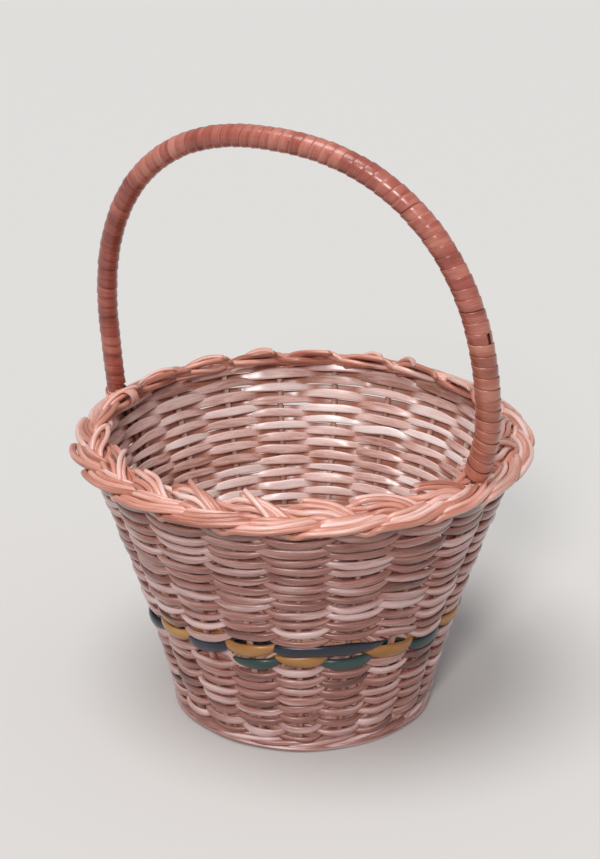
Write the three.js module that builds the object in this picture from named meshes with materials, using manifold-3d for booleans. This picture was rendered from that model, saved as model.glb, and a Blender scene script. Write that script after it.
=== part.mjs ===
// A round cane basket with a plaited border and a fixed bow handle, in millimetres, +Z up.
// The origin is on the basket's axis, in the plane that it stands on, and the bow spans it along X.
// The willow is woven round upright stakes, which are pushed into the base and held by the border.
import * as THREE from "three";
import { mergeVertices } from "three/addons/utils/BufferGeometryUtils.js";
import Module from "manifold-3d";

const wasm = await Module();
wasm.setup();

// Air between pieces that touch
const CLEARANCE = 0.3;

// Rods
const STAKE_DIAMETER = 5;
const WEAVER_THICKNESS = 2.6;
const ROD_SIDES = 5;

// Wall: an odd count of stakes lets one weaver change sides from round to round by itself
const STAKE_COUNT = 21;
const FIRST_STAKE_DEGREES = -7.8;
const FOOT_RADIUS = 98.9;
const TOP_RADIUS = 162.5;
const WALL_HEIGHT = 206;
const WALL_HOLLOW = 3.7; // how far the wall curves inwards at half its height
const STAKE_BEND_HEIGHT = WALL_HEIGHT / 2;

// Rows of the wall, from the ground up: the upper siding takes what is left
const WALE_HEIGHT = 10;
const LOWER_SIDING_HEIGHT = 72;
const DYED_ROW_HEIGHT = 9.8;

// The dyed row goes round once and a bit: its ends overlap on top of its start, at the front
const OVERLAP_FIRST_STAKE_COUNT = 16.4; // counted in stakes round the wall
const OVERLAP_STAKE_COUNT = 3.2;

// Weave of the sidings: each swell stands for about three woven rows
const WEAVE_ROW_HEIGHT = 14.2;
const WEAVE_BEHIND_STAKE = 3.3; // from the wall's middle to its surface where a row goes behind a stake
const WEAVE_BETWEEN_STAKES = 1.9; // and halfway between two stakes
const WEAVE_GROOVE = 0.7; // between two rows

// Base
const BASE_LIFT = 0.7; // the woven base stays clear of the ground, inside the bottom wale
const STICKS_EACH_WAY = 3;
const SPLIT_STICK_DIAMETER = 7.4;
const THROUGH_STICK_DIAMETER = 4.4;
const BASE_WEAVE_COVER = 0.8; // weave over and under the split sticks
const SLATH_RADIUS = 26; // where the sticks leave the cross and the base weave starts
const STICK_END_INSET = 16.4; // from the base's edge in to the sticks' ends
const STAKE_ROOT_DEPTH = 10.4; // how far in from the base's edge a stake is pushed

// Border: a plait of three flat strands of rods, one turn of the plait for every three stakes
const STRAND_COUNT = 3;
const PLAIT_WIDTH = 34.2;
const PLAIT_THICKNESS = 16.8;
const PLAIT_TILT_DEGREES = 28; // its outer edge hangs lower than its inner edge
const STRAND_WIDTH = 9.6; // where it crosses the middle of the plait
const STRAND_SPREAD = 5; // its rods lie this much wider along the plait's edges
const STRAND_AIR = 1.8; // between strands where they cross
const STRAND_SIDES = 6;
const PLAIT_STEPS_PER_TURN = 12;

// Bow handle
const NEAR_FOOT_INSET = 7.4; // from the middle of the border in to the middle of the near foot
const FAR_FOOT_OUTSET = 7.6; // from the middle of the border out to the middle of the far foot
const FAR_FOOT_STAKE_COUNT = 11; // stakes from the near foot round to the far foot
const BOW_BESIDE_STAKE = 9; // between the middles of a bow end and the stake next to it
const BOW_BULGE_WIDTH = 7.9; // each side of the arch is this much wider than the feet stand apart
const BOW_SWAY = 6.4; // the whole arch lies this far to the near foot's side
const BOW_WAIST_RISE = 57; // from the middle of the border up to the widest place
const BOW_RISE = 235; // from the middle of the border up to the middle of the bow at its top
const BOW_ROUNDNESS = 2.28; // 2 is an ellipse, more is squarer
const BOW_LEAN = 24; // the top leans this far towards -Y
const BOW_NEAR_CORE_RADIUS = 7.6;
const BOW_FAR_CORE_RADIUS = 5.7;
const BOW_TAIL_DIAMETER = 6;
const BOW_TAIL_LENGTH = 75; // how deep each thin end is pushed down into the wall
const BOW_TAIL_PLACES = [0.5, FAR_FOOT_STAKE_COUNT + 0.5]; // the weave swells over them here too

// Wrapping of the bow: flat strips, each wound on where the last one stops
const STRIP_TURNS = [12, 20, 19, 19];
const STRIP_THICKNESS = 1.2;
const STRIP_GAP = 0.7;
const STRIP_STEPS_PER_TURN = 8;
const STRIP_ROOM = 0.5; // between the bow and the strips
const LASHING_WIDTH = 6;

const rad = THREE.MathUtils.degToRad;
const Z_UP = new THREE.Vector3(0, 0, 1);

// Wall shape

const wallThickness = STAKE_DIAMETER + 2 * WEAVER_THICKNESS;

function wallOutside(z) {
  const t = z / WALL_HEIGHT;
  return FOOT_RADIUS + (TOP_RADIUS - FOOT_RADIUS) * t - WALL_HOLLOW * 4 * t * (1 - t);
}

function stakeRadius(z) {
  return wallOutside(z) - wallThickness / 2;
}

// The middle of the wall as the stakes run, straight from bend to bend
function stakeLine(z) {
  const low = z < STAKE_BEND_HEIGHT ? WALE_HEIGHT : STAKE_BEND_HEIGHT;
  const high = z < STAKE_BEND_HEIGHT ? STAKE_BEND_HEIGHT : WALL_HEIGHT;
  const share = (z - low) / (high - low);
  return stakeRadius(low) * (1 - share) + stakeRadius(high) * share;
}

function stakeAngle(i) {
  return rad(FIRST_STAKE_DEGREES) + (i * 2 * Math.PI) / STAKE_COUNT;
}

function atAngle(radius, angle, z) {
  return new THREE.Vector3(radius * Math.cos(angle), radius * Math.sin(angle), z);
}

// Sweeps

// A closed solid from rings of points: caps close its ends, or the last ring meets the first
function loft(rings, loop = false) {
  const sides = rings[0].length;
  const positions = rings.flat().flatMap((p) => [p.x, p.y, p.z]);
  const faces = [];
  const joins = loop ? rings.length : rings.length - 1;
  for (let i = 0; i < joins; i++) {
    const near = i * sides;
    const far = ((i + 1) % rings.length) * sides;
    for (let j = 0; j < sides; j++) {
      const k = (j + 1) % sides;
      faces.push(near + j, near + k, far + k, near + j, far + k, far + j);
    }
  }
  if (!loop) {
    const last = (rings.length - 1) * sides;
    for (let j = 1; j < sides - 1; j++) {
      faces.push(0, j + 1, j);
      faces.push(last, last + j, last + j + 1);
    }
  }
  const geometry = new THREE.BufferGeometry();
  geometry.setAttribute("position", new THREE.Float32BufferAttribute(positions, 3));
  geometry.setIndex(faces);
  return geometry;
}

// A ring of points round a place on a path, given the two directions that its section lies in
function ringOf(place, side, up, halfWidth, halfHeight, sides) {
  return Array.from({ length: sides }, (_, j) => {
    const a = (j * 2 * Math.PI) / sides;
    return place
      .clone()
      .addScaledVector(side, halfWidth * Math.cos(a))
      .addScaledVector(up, halfHeight * Math.sin(a));
  });
}

// A round rod through points that all lie in one plane, with mitred bends
function rod(points, radii, planeNormal) {
  const rings = points.map((p, i) => {
    const before = points[Math.max(i - 1, 0)];
    const after = points[Math.min(i + 1, points.length - 1)];
    const arriving = p.clone().sub(before).normalize();
    const leaving = after.clone().sub(p).normalize();
    const along = arriving.clone().add(leaving).normalize();
    const across = new THREE.Vector3().crossVectors(planeNormal, along).normalize();
    const halfBend = i === 0 || i === points.length - 1 ? 0 : arriving.angleTo(leaving) / 2;
    return ringOf(p, across, planeNormal, radii[i] / Math.cos(halfBend), radii[i], ROD_SIDES);
  });
  return loft(outwards(rings));
}

// Rings run anticlockwise as seen from ahead, so that a loft's faces point out
function outwards(rings) {
  const [first, second] = rings;
  const normal = new THREE.Vector3().crossVectors(
    first[1].clone().sub(first[0]),
    first[2].clone().sub(first[0]),
  );
  const ahead = second[0].clone().sub(first[0]);
  return normal.dot(ahead) > 0 ? rings : rings.map((ring) => [...ring].reverse());
}

// Cuts

function toSolid(geometry) {
  const bare = geometry.clone();
  bare.deleteAttribute("normal");
  bare.deleteAttribute("uv");
  const merged = mergeVertices(bare, 1e-4);
  const mesh = new wasm.Mesh({
    numProp: 3,
    vertProperties: new Float32Array(merged.attributes.position.array),
    triVerts: new Uint32Array(merged.index.array),
  });
  return new wasm.Manifold(mesh);
}

function toGeometry(solid) {
  const mesh = solid.getMesh();
  const geometry = new THREE.BufferGeometry();
  geometry.setAttribute("position", new THREE.Float32BufferAttribute(mesh.vertProperties, 3));
  geometry.setIndex(Array.from(mesh.triVerts));
  return geometry;
}

function cutAway(geometry, cutters) {
  return toGeometry(cutters.reduce((left, cutter) => left.subtract(toSolid(cutter)), toSolid(geometry)));
}

// A ring turned round the basket's axis, from a closed outline of [radius, z]
function turned(outline) {
  const points = [...outline, outline[0]].map(([r, z]) => new THREE.Vector2(r, z));
  return new THREE.LatheGeometry(points, 2 * STAKE_COUNT).rotateX(Math.PI / 2);
}

// Materials

function cane(color, roughness) {
  return new THREE.MeshStandardMaterial({ color, roughness, metalness: 0 });
}

const basket = new THREE.Group();

function add(name, geometry, material) {
  const mesh = new THREE.Mesh(geometry, material);
  mesh.name = name;
  basket.add(mesh);
}

// Base

const baseMiddle = BASE_LIFT + BASE_WEAVE_COVER + SPLIT_STICK_DIAMETER / 2;
const baseTop = 2 * baseMiddle - BASE_LIFT;
const baseRadius = wallOutside(0) - wallThickness - CLEARANCE;
const stickReach = baseRadius - STICK_END_INSET;
const splitPitch = SPLIT_STICK_DIAMETER + CLEARANCE;
const throughPitch = THROUGH_STICK_DIAMETER + CLEARANCE;

// A stick of the cross runs straight through the middle, then fans out to its own spoke
function stickPoints(i, pitch, crossedPitch, turn) {
  const fromMiddle = i - (STICKS_EACH_WAY - 1) / 2;
  const offset = fromMiddle * pitch;
  const straight = (STICKS_EACH_WAY * crossedPitch) / 2 + CLEARANCE;
  const fan = (fromMiddle * Math.PI) / (2 * STICKS_EACH_WAY);
  const end = [stickReach * Math.cos(fan), stickReach * Math.sin(fan)];
  const half = [[straight, offset], end];
  const whole = [...half.map(([x, y]) => [-x, y]).reverse(), ...half];
  return whole.map(([x, y]) => new THREE.Vector3(x, y, baseMiddle).applyAxisAngle(Z_UP, turn));
}

function baseStick(i, split, swell) {
  const diameter = split ? SPLIT_STICK_DIAMETER : THROUGH_STICK_DIAMETER;
  const pitches = split ? [splitPitch, throughPitch] : [throughPitch, splitPitch];
  const points = stickPoints(i, ...pitches, split ? Math.PI / 2 : 0);
  return rod(points, points.map(() => diameter / 2 + swell), Z_UP);
}

function buildBase() {
  const wood = cane(0xb98a66, 0.6);
  const tunnels = [];
  for (let i = 0; i < STICKS_EACH_WAY; i++) {
    const throughSpace = [];
    for (let j = 0; j < STICKS_EACH_WAY; j++) {
      throughSpace.push(baseStick(j, false, CLEARANCE));
    }
    add(`base_stick_split_${i + 1}`, cutAway(baseStick(i, true, 0), throughSpace), wood);
    add(`base_stick_through_${i + 1}`, baseStick(i, false, 0), wood);
    tunnels.push(baseStick(i, true, CLEARANCE), baseStick(i, false, CLEARANCE));
  }
  const disc = turned([
    [SLATH_RADIUS, BASE_LIFT],
    [baseRadius, BASE_LIFT],
    [baseRadius, baseTop],
    [SLATH_RADIUS, baseTop],
  ]);
  add("base_weave", cutAway(disc, [...tunnels, ...stakeSpaces()]), cane(0xb58463, 0.6));
}

// Stakes: each is pushed sideways into the base, bends up in the bottom wale and climbs the wall

function stake(i, swell) {
  const angle = stakeAngle(i);
  const profile = [
    [baseRadius - STAKE_ROOT_DEPTH - swell, baseMiddle],
    [baseRadius, baseMiddle],
    [stakeRadius(WALE_HEIGHT), WALE_HEIGHT],
    [stakeRadius(STAKE_BEND_HEIGHT), STAKE_BEND_HEIGHT],
    [stakeRadius(WALL_HEIGHT), WALL_HEIGHT + swell],
  ];
  const points = profile.map(([r, z]) => atAngle(r, angle, z));
  const sideways = atAngle(1, angle + Math.PI / 2, 0);
  return rod(points, points.map(() => STAKE_DIAMETER / 2 + swell), sideways);
}

function stakeSpaces() {
  return Array.from({ length: STAKE_COUNT }, (_, i) => stake(i, CLEARANCE));
}

function buildStakes() {
  const bark = cane(0xa8704c, 0.55);
  for (let i = 0; i < STAKE_COUNT; i++) {
    add(`stake_${String(i + 1).padStart(2, "0")}`, stake(i, 0), bark);
  }
}

// Wall: bands of weaving, one above the other, each with a way through for every stake

function wallRing(bottom, top) {
  return turned([
    [wallOutside(bottom), bottom],
    [wallOutside(top), top],
    [wallOutside(top) - wallThickness, top],
    [wallOutside(bottom) - wallThickness, bottom],
  ]);
}

// How far a band's surface lies from the middle of the wall, at a place in half stakes and a level
// in half rows: a row swells over every other stake, and on the other face over the stakes between
function weaveSwell(halfStake, halfRow, side) {
  const crest = halfRow % 2 === 1;
  const tail = BOW_TAIL_PLACES.includes(halfStake / 2);
  if (halfStake % 2 === 1 && !tail) {
    return crest ? WEAVE_BETWEEN_STAKES : WEAVE_BETWEEN_STAKES - WEAVE_GROOVE;
  }
  const over = (Math.floor(halfStake / 2) + (halfRow - 1) / 2) % 2 === (side > 0 ? 0 : 1);
  return crest && over ? wallThickness / 2 : WEAVE_BEHIND_STAKE;
}

// Woven rows that climb one row in each round, so that with an odd count of stakes each row swells
// where the row below it goes behind; they run on past the band's edges, and are cut off level
function wovenRing(bottom, top) {
  const rowHeight = (top - bottom) / Math.max(1, Math.round((top - bottom) / WEAVE_ROW_HEIGHT));
  const levels = 2 * Math.round((top - bottom) / rowHeight) + 3;
  const columns = 2 * STAKE_COUNT;
  const start = bottom - 1.1 * rowHeight;
  const points = [];
  for (let c = 0; c <= columns; c++) {
    for (let l = 0; l < levels; l++) {
      const z = start + (l / 2 + c / columns) * rowHeight;
      for (const side of [1, -1]) {
        points.push(atAngle(stakeLine(z) + side * weaveSwell(c, l, side), stakeAngle(c / 2), z));
      }
    }
  }
  const outer = (c, l) => 2 * (c * levels + l);
  const inner = (c, l) => outer(c, l) + 1;
  const faces = [];
  const quad = (a, b, c, d) => faces.push(a, b, c, a, c, d);
  for (let c = 0; c < columns; c++) {
    for (let l = 0; l < levels - 1; l++) {
      quad(outer(c, l), outer(c + 1, l), outer(c + 1, l + 1), outer(c, l + 1));
      quad(inner(c + 1, l), inner(c, l), inner(c, l + 1), inner(c + 1, l + 1));
    }
    quad(outer(c, 0), inner(c, 0), inner(c + 1, 0), outer(c + 1, 0));
    const last = levels - 1;
    quad(inner(c, last), outer(c, last), outer(c + 1, last), inner(c + 1, last));
  }
  for (const l of [0, 1]) {
    const m = levels - 3 + l;
    quad(outer(0, l), outer(0, l + 1), inner(0, l + 1), inner(0, l));
    quad(outer(columns, m + 1), outer(columns, m), inner(columns, m), inner(columns, m + 1));
  }
  const geometry = new THREE.BufferGeometry();
  const positions = points.flatMap((p) => [p.x, p.y, p.z]);
  geometry.setAttribute("position", new THREE.Float32BufferAttribute(positions, 3));
  geometry.setIndex(faces);
  const ends = [bottom - 2 * rowHeight, top + 2 * rowHeight].map((z) => {
    const disc = new THREE.CylinderGeometry(2 * TOP_RADIUS, 2 * TOP_RADIUS, 4 * rowHeight, 8);
    return disc.rotateX(Math.PI / 2).translate(0, 0, z);
  });
  return cutAway(geometry, ends);
}

// A wedge round the basket's axis, between two places that are counted in stakes
function wedge(from, to, bottom, top) {
  const reach = 2 * TOP_RADIUS;
  const shape = new THREE.Shape();
  shape.moveTo(0, 0);
  for (const place of [from, (from + to) / 2, to]) {
    shape.lineTo(reach * Math.cos(stakeAngle(place)), reach * Math.sin(stakeAngle(place)));
  }
  const depth = top - bottom;
  return new THREE.ExtrudeGeometry(shape, { depth, bevelEnabled: false }).translate(0, 0, bottom);
}

const overlapBottom = WALE_HEIGHT + LOWER_SIDING_HEIGHT + DYED_ROW_HEIGHT + 3 * CLEARANCE;

function overlapWedge(swell) {
  const turn = (swell / stakeRadius(overlapBottom)) * (STAKE_COUNT / (2 * Math.PI));
  const from = OVERLAP_FIRST_STAKE_COUNT - turn;
  const to = OVERLAP_FIRST_STAKE_COUNT + OVERLAP_STAKE_COUNT + turn;
  return wedge(from, to, overlapBottom - swell, overlapBottom + DYED_ROW_HEIGHT + swell);
}

function buildWall(tails) {
  const rows = [
    ["bottom_wale", wallRing, 0, WALE_HEIGHT, 0x9d6b4a],
    ["lower_siding", wovenRing, WALE_HEIGHT + CLEARANCE, LOWER_SIDING_HEIGHT, 0xb07a5b],
    ["dyed_row", wovenRing, overlapBottom - DYED_ROW_HEIGHT - CLEARANCE, DYED_ROW_HEIGHT, 0x2f5a5e],
  ];
  for (const [name, ring, bottom, height, color] of rows) {
    add(name, cutAway(ring(bottom, bottom + height), stakeSpaces()), cane(color, 0.5));
  }
  const spaces = [overlapWedge(CLEARANCE), ...stakeSpaces(), ...tails];
  const upper = cutAway(wovenRing(overlapBottom, WALL_HEIGHT), spaces);
  add("upper_siding", upper, cane(0xb98468, 0.5));
  const overlapRing = wovenRing(overlapBottom, overlapBottom + DYED_ROW_HEIGHT);
  const overlap = toGeometry(toSolid(overlapRing).intersect(toSolid(overlapWedge(0))));
  add("dyed_overlap", cutAway(overlap, stakeSpaces()), cane(0xc08a3e, 0.5));
}

// Border

const plaitTurns = STAKE_COUNT / STRAND_COUNT;
const plaitRadius = stakeRadius(WALL_HEIGHT);
// Two strands cross sin(60 degrees) of the plait's rise above and below its middle
const crossingShare = Math.sin(Math.PI / 3);
const plaitRise = (PLAIT_THICKNESS / 2 + STRAND_AIR / 2) / (1 + crossingShare);
const strandThickness = PLAIT_THICKNESS - 2 * plaitRise;

function strandTurn(strand, angle) {
  return plaitTurns * angle + (strand * 2 * Math.PI) / STRAND_COUNT;
}

function strandHalfWidth(turn) {
  return (STRAND_WIDTH + STRAND_SPREAD * Math.sin(turn) ** 2) / 2;
}

// The middle of a strand: it swings from edge to edge once a turn and rises twice
function strandPoint(strand, angle, height) {
  const t = strandTurn(strand, angle);
  const u = (PLAIT_WIDTH / 2 - strandHalfWidth(t)) * Math.sin(t);
  const v = -plaitRise * Math.sin(2 * t);
  const tilt = rad(PLAIT_TILT_DEGREES);
  const outwardsBy = u * Math.cos(tilt) + v * Math.sin(tilt);
  const upBy = v * Math.cos(tilt) - u * Math.sin(tilt);
  return atAngle(plaitRadius + outwardsBy, angle, height + upBy);
}

function strandRings(strand, height) {
  const steps = plaitTurns * PLAIT_STEPS_PER_TURN;
  const stepAngle = (2 * Math.PI) / steps;
  const rings = [];
  for (let i = 0; i < steps; i++) {
    const angle = i * stepAngle;
    const before = strandPoint(strand, angle - stepAngle / 2, height);
    const along = strandPoint(strand, angle + stepAngle / 2, height).sub(before).normalize();
    const tilt = rad(PLAIT_TILT_DEGREES);
    const flat = atAngle(Math.sin(tilt), angle, Math.cos(tilt));
    const side = new THREE.Vector3().crossVectors(along, flat).normalize();
    const up = new THREE.Vector3().crossVectors(side, along);
    const place = strandPoint(strand, angle, height);
    const halfWidth = strandHalfWidth(strandTurn(strand, angle));
    rings.push(ringOf(place, side, up, halfWidth, strandThickness / 2, STRAND_SIDES));
  }
  return outwards(rings);
}

const strandIds = Array.from({ length: STRAND_COUNT }, (_, i) => i);

// Points spread over the flats of all strands, to measure the border's surface on
function plaitSurface(height) {
  const cells = 4;
  const points = [];
  for (const strand of strandIds) {
    const rings = strandRings(strand, height);
    rings.forEach((ring, i) => {
      const next = rings[(i + 1) % rings.length];
      ring.forEach((corner, j) => {
        const k = (j + 1) % ring.length;
        for (let u = 0; u < cells; u++) {
          const a = corner.clone().lerp(ring[k], u / cells);
          const b = next[j].clone().lerp(next[k], u / cells);
          for (let v = 0; v < cells; v++) {
            points.push(a.clone().lerp(b, v / cells));
          }
        }
      });
    });
  }
  return points;
}

// The border rests on the wall: its middle is as high above the wall as its underside is below
function plaitUnderside() {
  const points = plaitSurface(0);
  const overWall = points.filter((p) => {
    return Math.abs(Math.hypot(p.x, p.y) - plaitRadius) < wallThickness / 2 + CLEARANCE;
  });
  return Math.min(...overWall.map((p) => p.z));
}

const plaitHeight = WALL_HEIGHT + CLEARANCE - plaitUnderside();

// The highest place of the border within a foot of the bow, seen from above
function plaitTopUnder(foot, reach) {
  const points = plaitSurface(plaitHeight);
  const near = points.filter((p) => Math.hypot(p.x - foot.x, p.y - foot.y) < reach);
  return Math.max(...near.map((p) => p.z));
}

function buildBorder(tails) {
  const shades = [0xd48a66, 0xc98260, 0xda9573];
  for (const strand of strandIds) {
    const whole = loft(strandRings(strand, plaitHeight), true);
    add(`border_strand_${strand + 1}`, cutAway(whole, tails), cane(shades[strand % shades.length], 0.42));
  }
}

// Bow handle

// A bow end goes down next to a stake
function footAngle(stakeIndex, radius) {
  return stakeAngle(stakeIndex) + BOW_BESIDE_STAKE / radius;
}

const nearFootRadius = plaitRadius - NEAR_FOOT_INSET;
const farFootRadius = plaitRadius + FAR_FOOT_OUTSET;
const nearFoot = atAngle(nearFootRadius, footAngle(0, nearFootRadius), plaitHeight);
const farFoot = atAngle(farFootRadius, footAngle(FAR_FOOT_STAKE_COUNT, farFootRadius), plaitHeight);
const feetMiddle = nearFoot.clone().add(farFoot).multiplyScalar(0.5);
const feetHalfSpan = nearFoot.distanceTo(farFoot) / 2;
const bowHalfWidth = feetHalfSpan + BOW_BULGE_WIDTH;
const spanDirection = nearFoot.clone().sub(farFoot).normalize();
const leanDirection = new THREE.Vector3().crossVectors(spanDirection, Z_UP).normalize();

// The bow's middle line: each leg widens from its foot to the waist on a quarter of a parabola,
// and a superellipse spans from waist to waist; share runs from 0 at the near foot to 1 at the far,
// and each leg takes up this share of it
const legShare = 0.14;

function bowPoint(share) {
  let across;
  let rise;
  if (share < legShare || share > 1 - legShare) {
    const sign = share < legShare ? 1 : -1;
    const up = (sign > 0 ? share : 1 - share) / legShare;
    const widening = BOW_BULGE_WIDTH + sign * BOW_SWAY;
    across = sign * (feetHalfSpan + widening * (1 - (1 - up) ** 2));
    rise = BOW_WAIST_RISE * up;
  } else {
    const a = (Math.PI * (share - legShare)) / (1 - 2 * legShare);
    const power = 2 / BOW_ROUNDNESS;
    across = Math.sign(Math.cos(a)) * Math.abs(Math.cos(a)) ** power * bowHalfWidth + BOW_SWAY;
    rise = BOW_WAIST_RISE + Math.abs(Math.sin(a)) ** power * (BOW_RISE - BOW_WAIST_RISE);
  }
  return feetMiddle
    .clone()
    .addScaledVector(spanDirection, across)
    .addScaledVector(leanDirection, (BOW_LEAN * rise) / BOW_RISE)
    .addScaledVector(Z_UP, rise);
}

// The line measured into even steps, so that a place can be asked for by its length from the foot
const bowSamples = 1200;
const bowLine = Array.from({ length: bowSamples + 1 }, (_, i) => bowPoint(i / bowSamples));
const bowLengths = [0];
for (let i = 1; i <= bowSamples; i++) {
  bowLengths.push(bowLengths[i - 1] + bowLine[i].distanceTo(bowLine[i - 1]));
}
const bowLength = bowLengths[bowSamples];
const bowPlane = new THREE.Vector3()
  .crossVectors(bowLine[bowSamples / 2].clone().sub(farFoot), spanDirection)
  .normalize();

function bowAt(length) {
  const within = Math.min(Math.max(length, 0), bowLength);
  let low = 0;
  let i = bowSamples;
  while (i - low > 1) {
    const half = (low + i) >> 1;
    if (bowLengths[half] < within) low = half;
    else i = half;
  }
  const share = (within - bowLengths[i - 1]) / (bowLengths[i] - bowLengths[i - 1]);
  return bowLine[i - 1].clone().lerp(bowLine[i], share);
}

// Place, directions and core radius at a length along the bow
function bowFrame(length) {
  const reach = (3 * bowLength) / bowSamples;
  const along = bowAt(length + reach).sub(bowAt(length - reach)).normalize();
  const side = new THREE.Vector3().crossVectors(along, bowPlane).normalize();
  const share = length / bowLength;
  const radius = BOW_NEAR_CORE_RADIUS + (BOW_FAR_CORE_RADIUS - BOW_NEAR_CORE_RADIUS) * share;
  return { place: bowAt(length), along, side, up: bowPlane, radius };
}

// How far along the bow its full thickness starts, to stand clear on the border at that foot
function footStart(foot, frame) {
  const reach = frame.radius + STRIP_ROOM + STRIP_THICKNESS;
  const standing = plaitTopUnder(foot, reach) + CLEARANCE - plaitHeight;
  const slope = Math.abs(frame.along.z);
  return (standing + reach * Math.sqrt(1 - slope * slope)) / slope;
}

const nearStart = footStart(nearFoot, bowFrame(0));
const farStart = bowLength - footStart(farFoot, bowFrame(bowLength));

// A thin end of the bow, from inside its thick foot down through the border into the wall
function bowTail(foot, length, swell) {
  const frame = bowFrame(length);
  const angle = Math.atan2(foot.y, foot.x);
  const down = [WALL_HEIGHT, WALL_HEIGHT - BOW_TAIL_LENGTH / 2, WALL_HEIGHT - BOW_TAIL_LENGTH - swell];
  const wall = down.map((z) => atAngle(stakeRadius(z), angle, z));
  const points = [...wall.reverse(), frame.place];
  const sideways = atAngle(1, angle + Math.PI / 2, 0);
  return rod(points, points.map(() => BOW_TAIL_DIAMETER / 2 + swell), sideways);
}

function bowTails(swell) {
  return [bowTail(nearFoot, nearStart, swell), bowTail(farFoot, farStart, swell)];
}

function buildBow() {
  const steps = 45;
  const rings = [];
  for (let i = 0; i <= steps; i++) {
    const frame = bowFrame(nearStart + ((farStart - nearStart) * i) / steps);
    rings.push(ringOf(frame.place, frame.side, frame.up, frame.radius, frame.radius, STRIP_STEPS_PER_TURN));
  }
  const arch = toSolid(loft(outwards(rings)));
  const core = bowTails(0).reduce((whole, tail) => whole.add(toSolid(tail)), arch);
  add("bow_core", toGeometry(core), cane(0x9c6a45, 0.6));
}

// Wrapping

const wrapStart = nearStart;
const wrapEnd = farStart - LASHING_WIDTH - STRIP_GAP;
const turnCount = STRIP_TURNS.reduce((sum, turns) => sum + turns, 0);
const turnPitch = (wrapEnd - wrapStart) / (turnCount + 1);
const stripWidth = turnPitch - STRIP_GAP;

// The four corners of a flat strip's section round the bow, from one length to another
function stripSection(angle, from, to) {
  const corner = (length, out) => {
    const frame = bowFrame(length);
    const reach = frame.radius + STRIP_ROOM + out;
    return frame.place
      .addScaledVector(frame.side, reach * Math.cos(angle))
      .addScaledVector(frame.up, reach * Math.sin(angle));
  };
  return [corner(from, 0), corner(to, 0), corner(to, STRIP_THICKNESS), corner(from, STRIP_THICKNESS)];
}

function stripRings(firstTurn, turns) {
  const rings = [];
  // The strip stops one step early: there its end is tucked under the next strip's start
  const steps = turns * STRIP_STEPS_PER_TURN - 1;
  for (let i = 0; i <= steps; i++) {
    const turn = firstTurn + i / STRIP_STEPS_PER_TURN;
    const from = wrapStart + turnPitch * turn;
    rings.push(stripSection(turn * 2 * Math.PI, from, from + stripWidth));
  }
  return rings;
}

// The least gap between a strip's turns, between its front corners and the next turn's back corners
function leastGap(rings) {
  let least = Infinity;
  for (let i = 0; i + STRIP_STEPS_PER_TURN < rings.length; i++) {
    for (let d = -2; d <= 2; d++) {
      const next = rings[i + STRIP_STEPS_PER_TURN + d];
      if (next) {
        least = Math.min(least, rings[i][1].distanceTo(next[0]), rings[i][2].distanceTo(next[3]));
      }
    }
  }
  return least;
}

function buildWrapping() {
  const shades = [0xa85537, 0x9a4733, 0x8f4031, 0x8a3c2e];
  let firstTurn = 0;
  STRIP_TURNS.forEach((turns, i) => {
    const rings = stripRings(firstTurn, turns);
    console.log(`bow_wrap_${i + 1}: ${turns} turns, least gap to itself ${leastGap(rings).toFixed(2)} mm`);
    add(`bow_wrap_${i + 1}`, loft(outwards(rings)), cane(shades[i % shades.length], 0.35));
    firstTurn += turns;
  });
}

// The pale strip that binds the far foot below the wrapping
function buildLashing() {
  const rings = Array.from({ length: STRIP_STEPS_PER_TURN }, (_, i) => {
    return stripSection((i * 2 * Math.PI) / STRIP_STEPS_PER_TURN, farStart - LASHING_WIDTH, farStart);
  });
  add("foot_lashing", loft(outwards(rings), true), cane(0xd9936c, 0.45));
}

const tailSpaces = bowTails(CLEARANCE);
buildBase();
buildStakes();
buildWall(tailSpaces);
buildBorder(tailSpaces);
buildBow();
buildWrapping();
buildLashing();

export default basket;
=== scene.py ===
# %% [markdown]
# # A cane basket with a plaited border and a wrapped bow
#
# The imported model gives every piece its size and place, as plain solids. This script weaves the
# basket itself over them: split willow round upright stakes, two dyed weavers, a plait of whole
# rods and a bow wound with flat cane. Each woven thing is one idea repeated, a section carried
# along a path, so the lesson is mostly about finding each path's formula.

# %% Load the frame
import bpy
import numpy as np
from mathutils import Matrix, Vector


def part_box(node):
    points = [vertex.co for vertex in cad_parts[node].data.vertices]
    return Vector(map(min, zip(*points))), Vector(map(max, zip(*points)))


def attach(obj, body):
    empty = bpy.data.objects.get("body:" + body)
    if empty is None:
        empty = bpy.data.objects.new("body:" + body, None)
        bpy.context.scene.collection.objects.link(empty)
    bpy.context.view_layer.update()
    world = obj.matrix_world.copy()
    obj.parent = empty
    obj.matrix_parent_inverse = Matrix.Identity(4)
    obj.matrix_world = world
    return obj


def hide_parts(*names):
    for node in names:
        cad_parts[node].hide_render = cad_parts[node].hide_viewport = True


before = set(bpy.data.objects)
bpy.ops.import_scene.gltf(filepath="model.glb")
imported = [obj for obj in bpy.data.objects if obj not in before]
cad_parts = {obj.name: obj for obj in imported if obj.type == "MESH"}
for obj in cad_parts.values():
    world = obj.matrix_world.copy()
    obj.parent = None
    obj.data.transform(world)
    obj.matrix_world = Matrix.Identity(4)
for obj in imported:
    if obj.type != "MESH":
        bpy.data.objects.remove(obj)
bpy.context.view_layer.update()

# %% [markdown]
# ## The wall's shape
#
# The wall is a cone that is drawn in a little at half its height, and 21 stakes climb it. An odd
# count matters: one weaver that passes outside a stake in this round passes inside it in the next,
# so it can go on for ever by itself. The same sizes shaped the solids, in millimetres; here they
# are in metres, and the heights are read from the frame.

# %% Sizes of the wall
STAKE_COUNT = 21
FIRST_STAKE = np.radians(-7.8)
FOOT_RADIUS = 0.0989
TOP_RADIUS = 0.1625
WALL_HOLLOW = 0.0037
STAKE_DIAMETER = 0.005
WEAVER_THICKNESS = 0.0026

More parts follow.
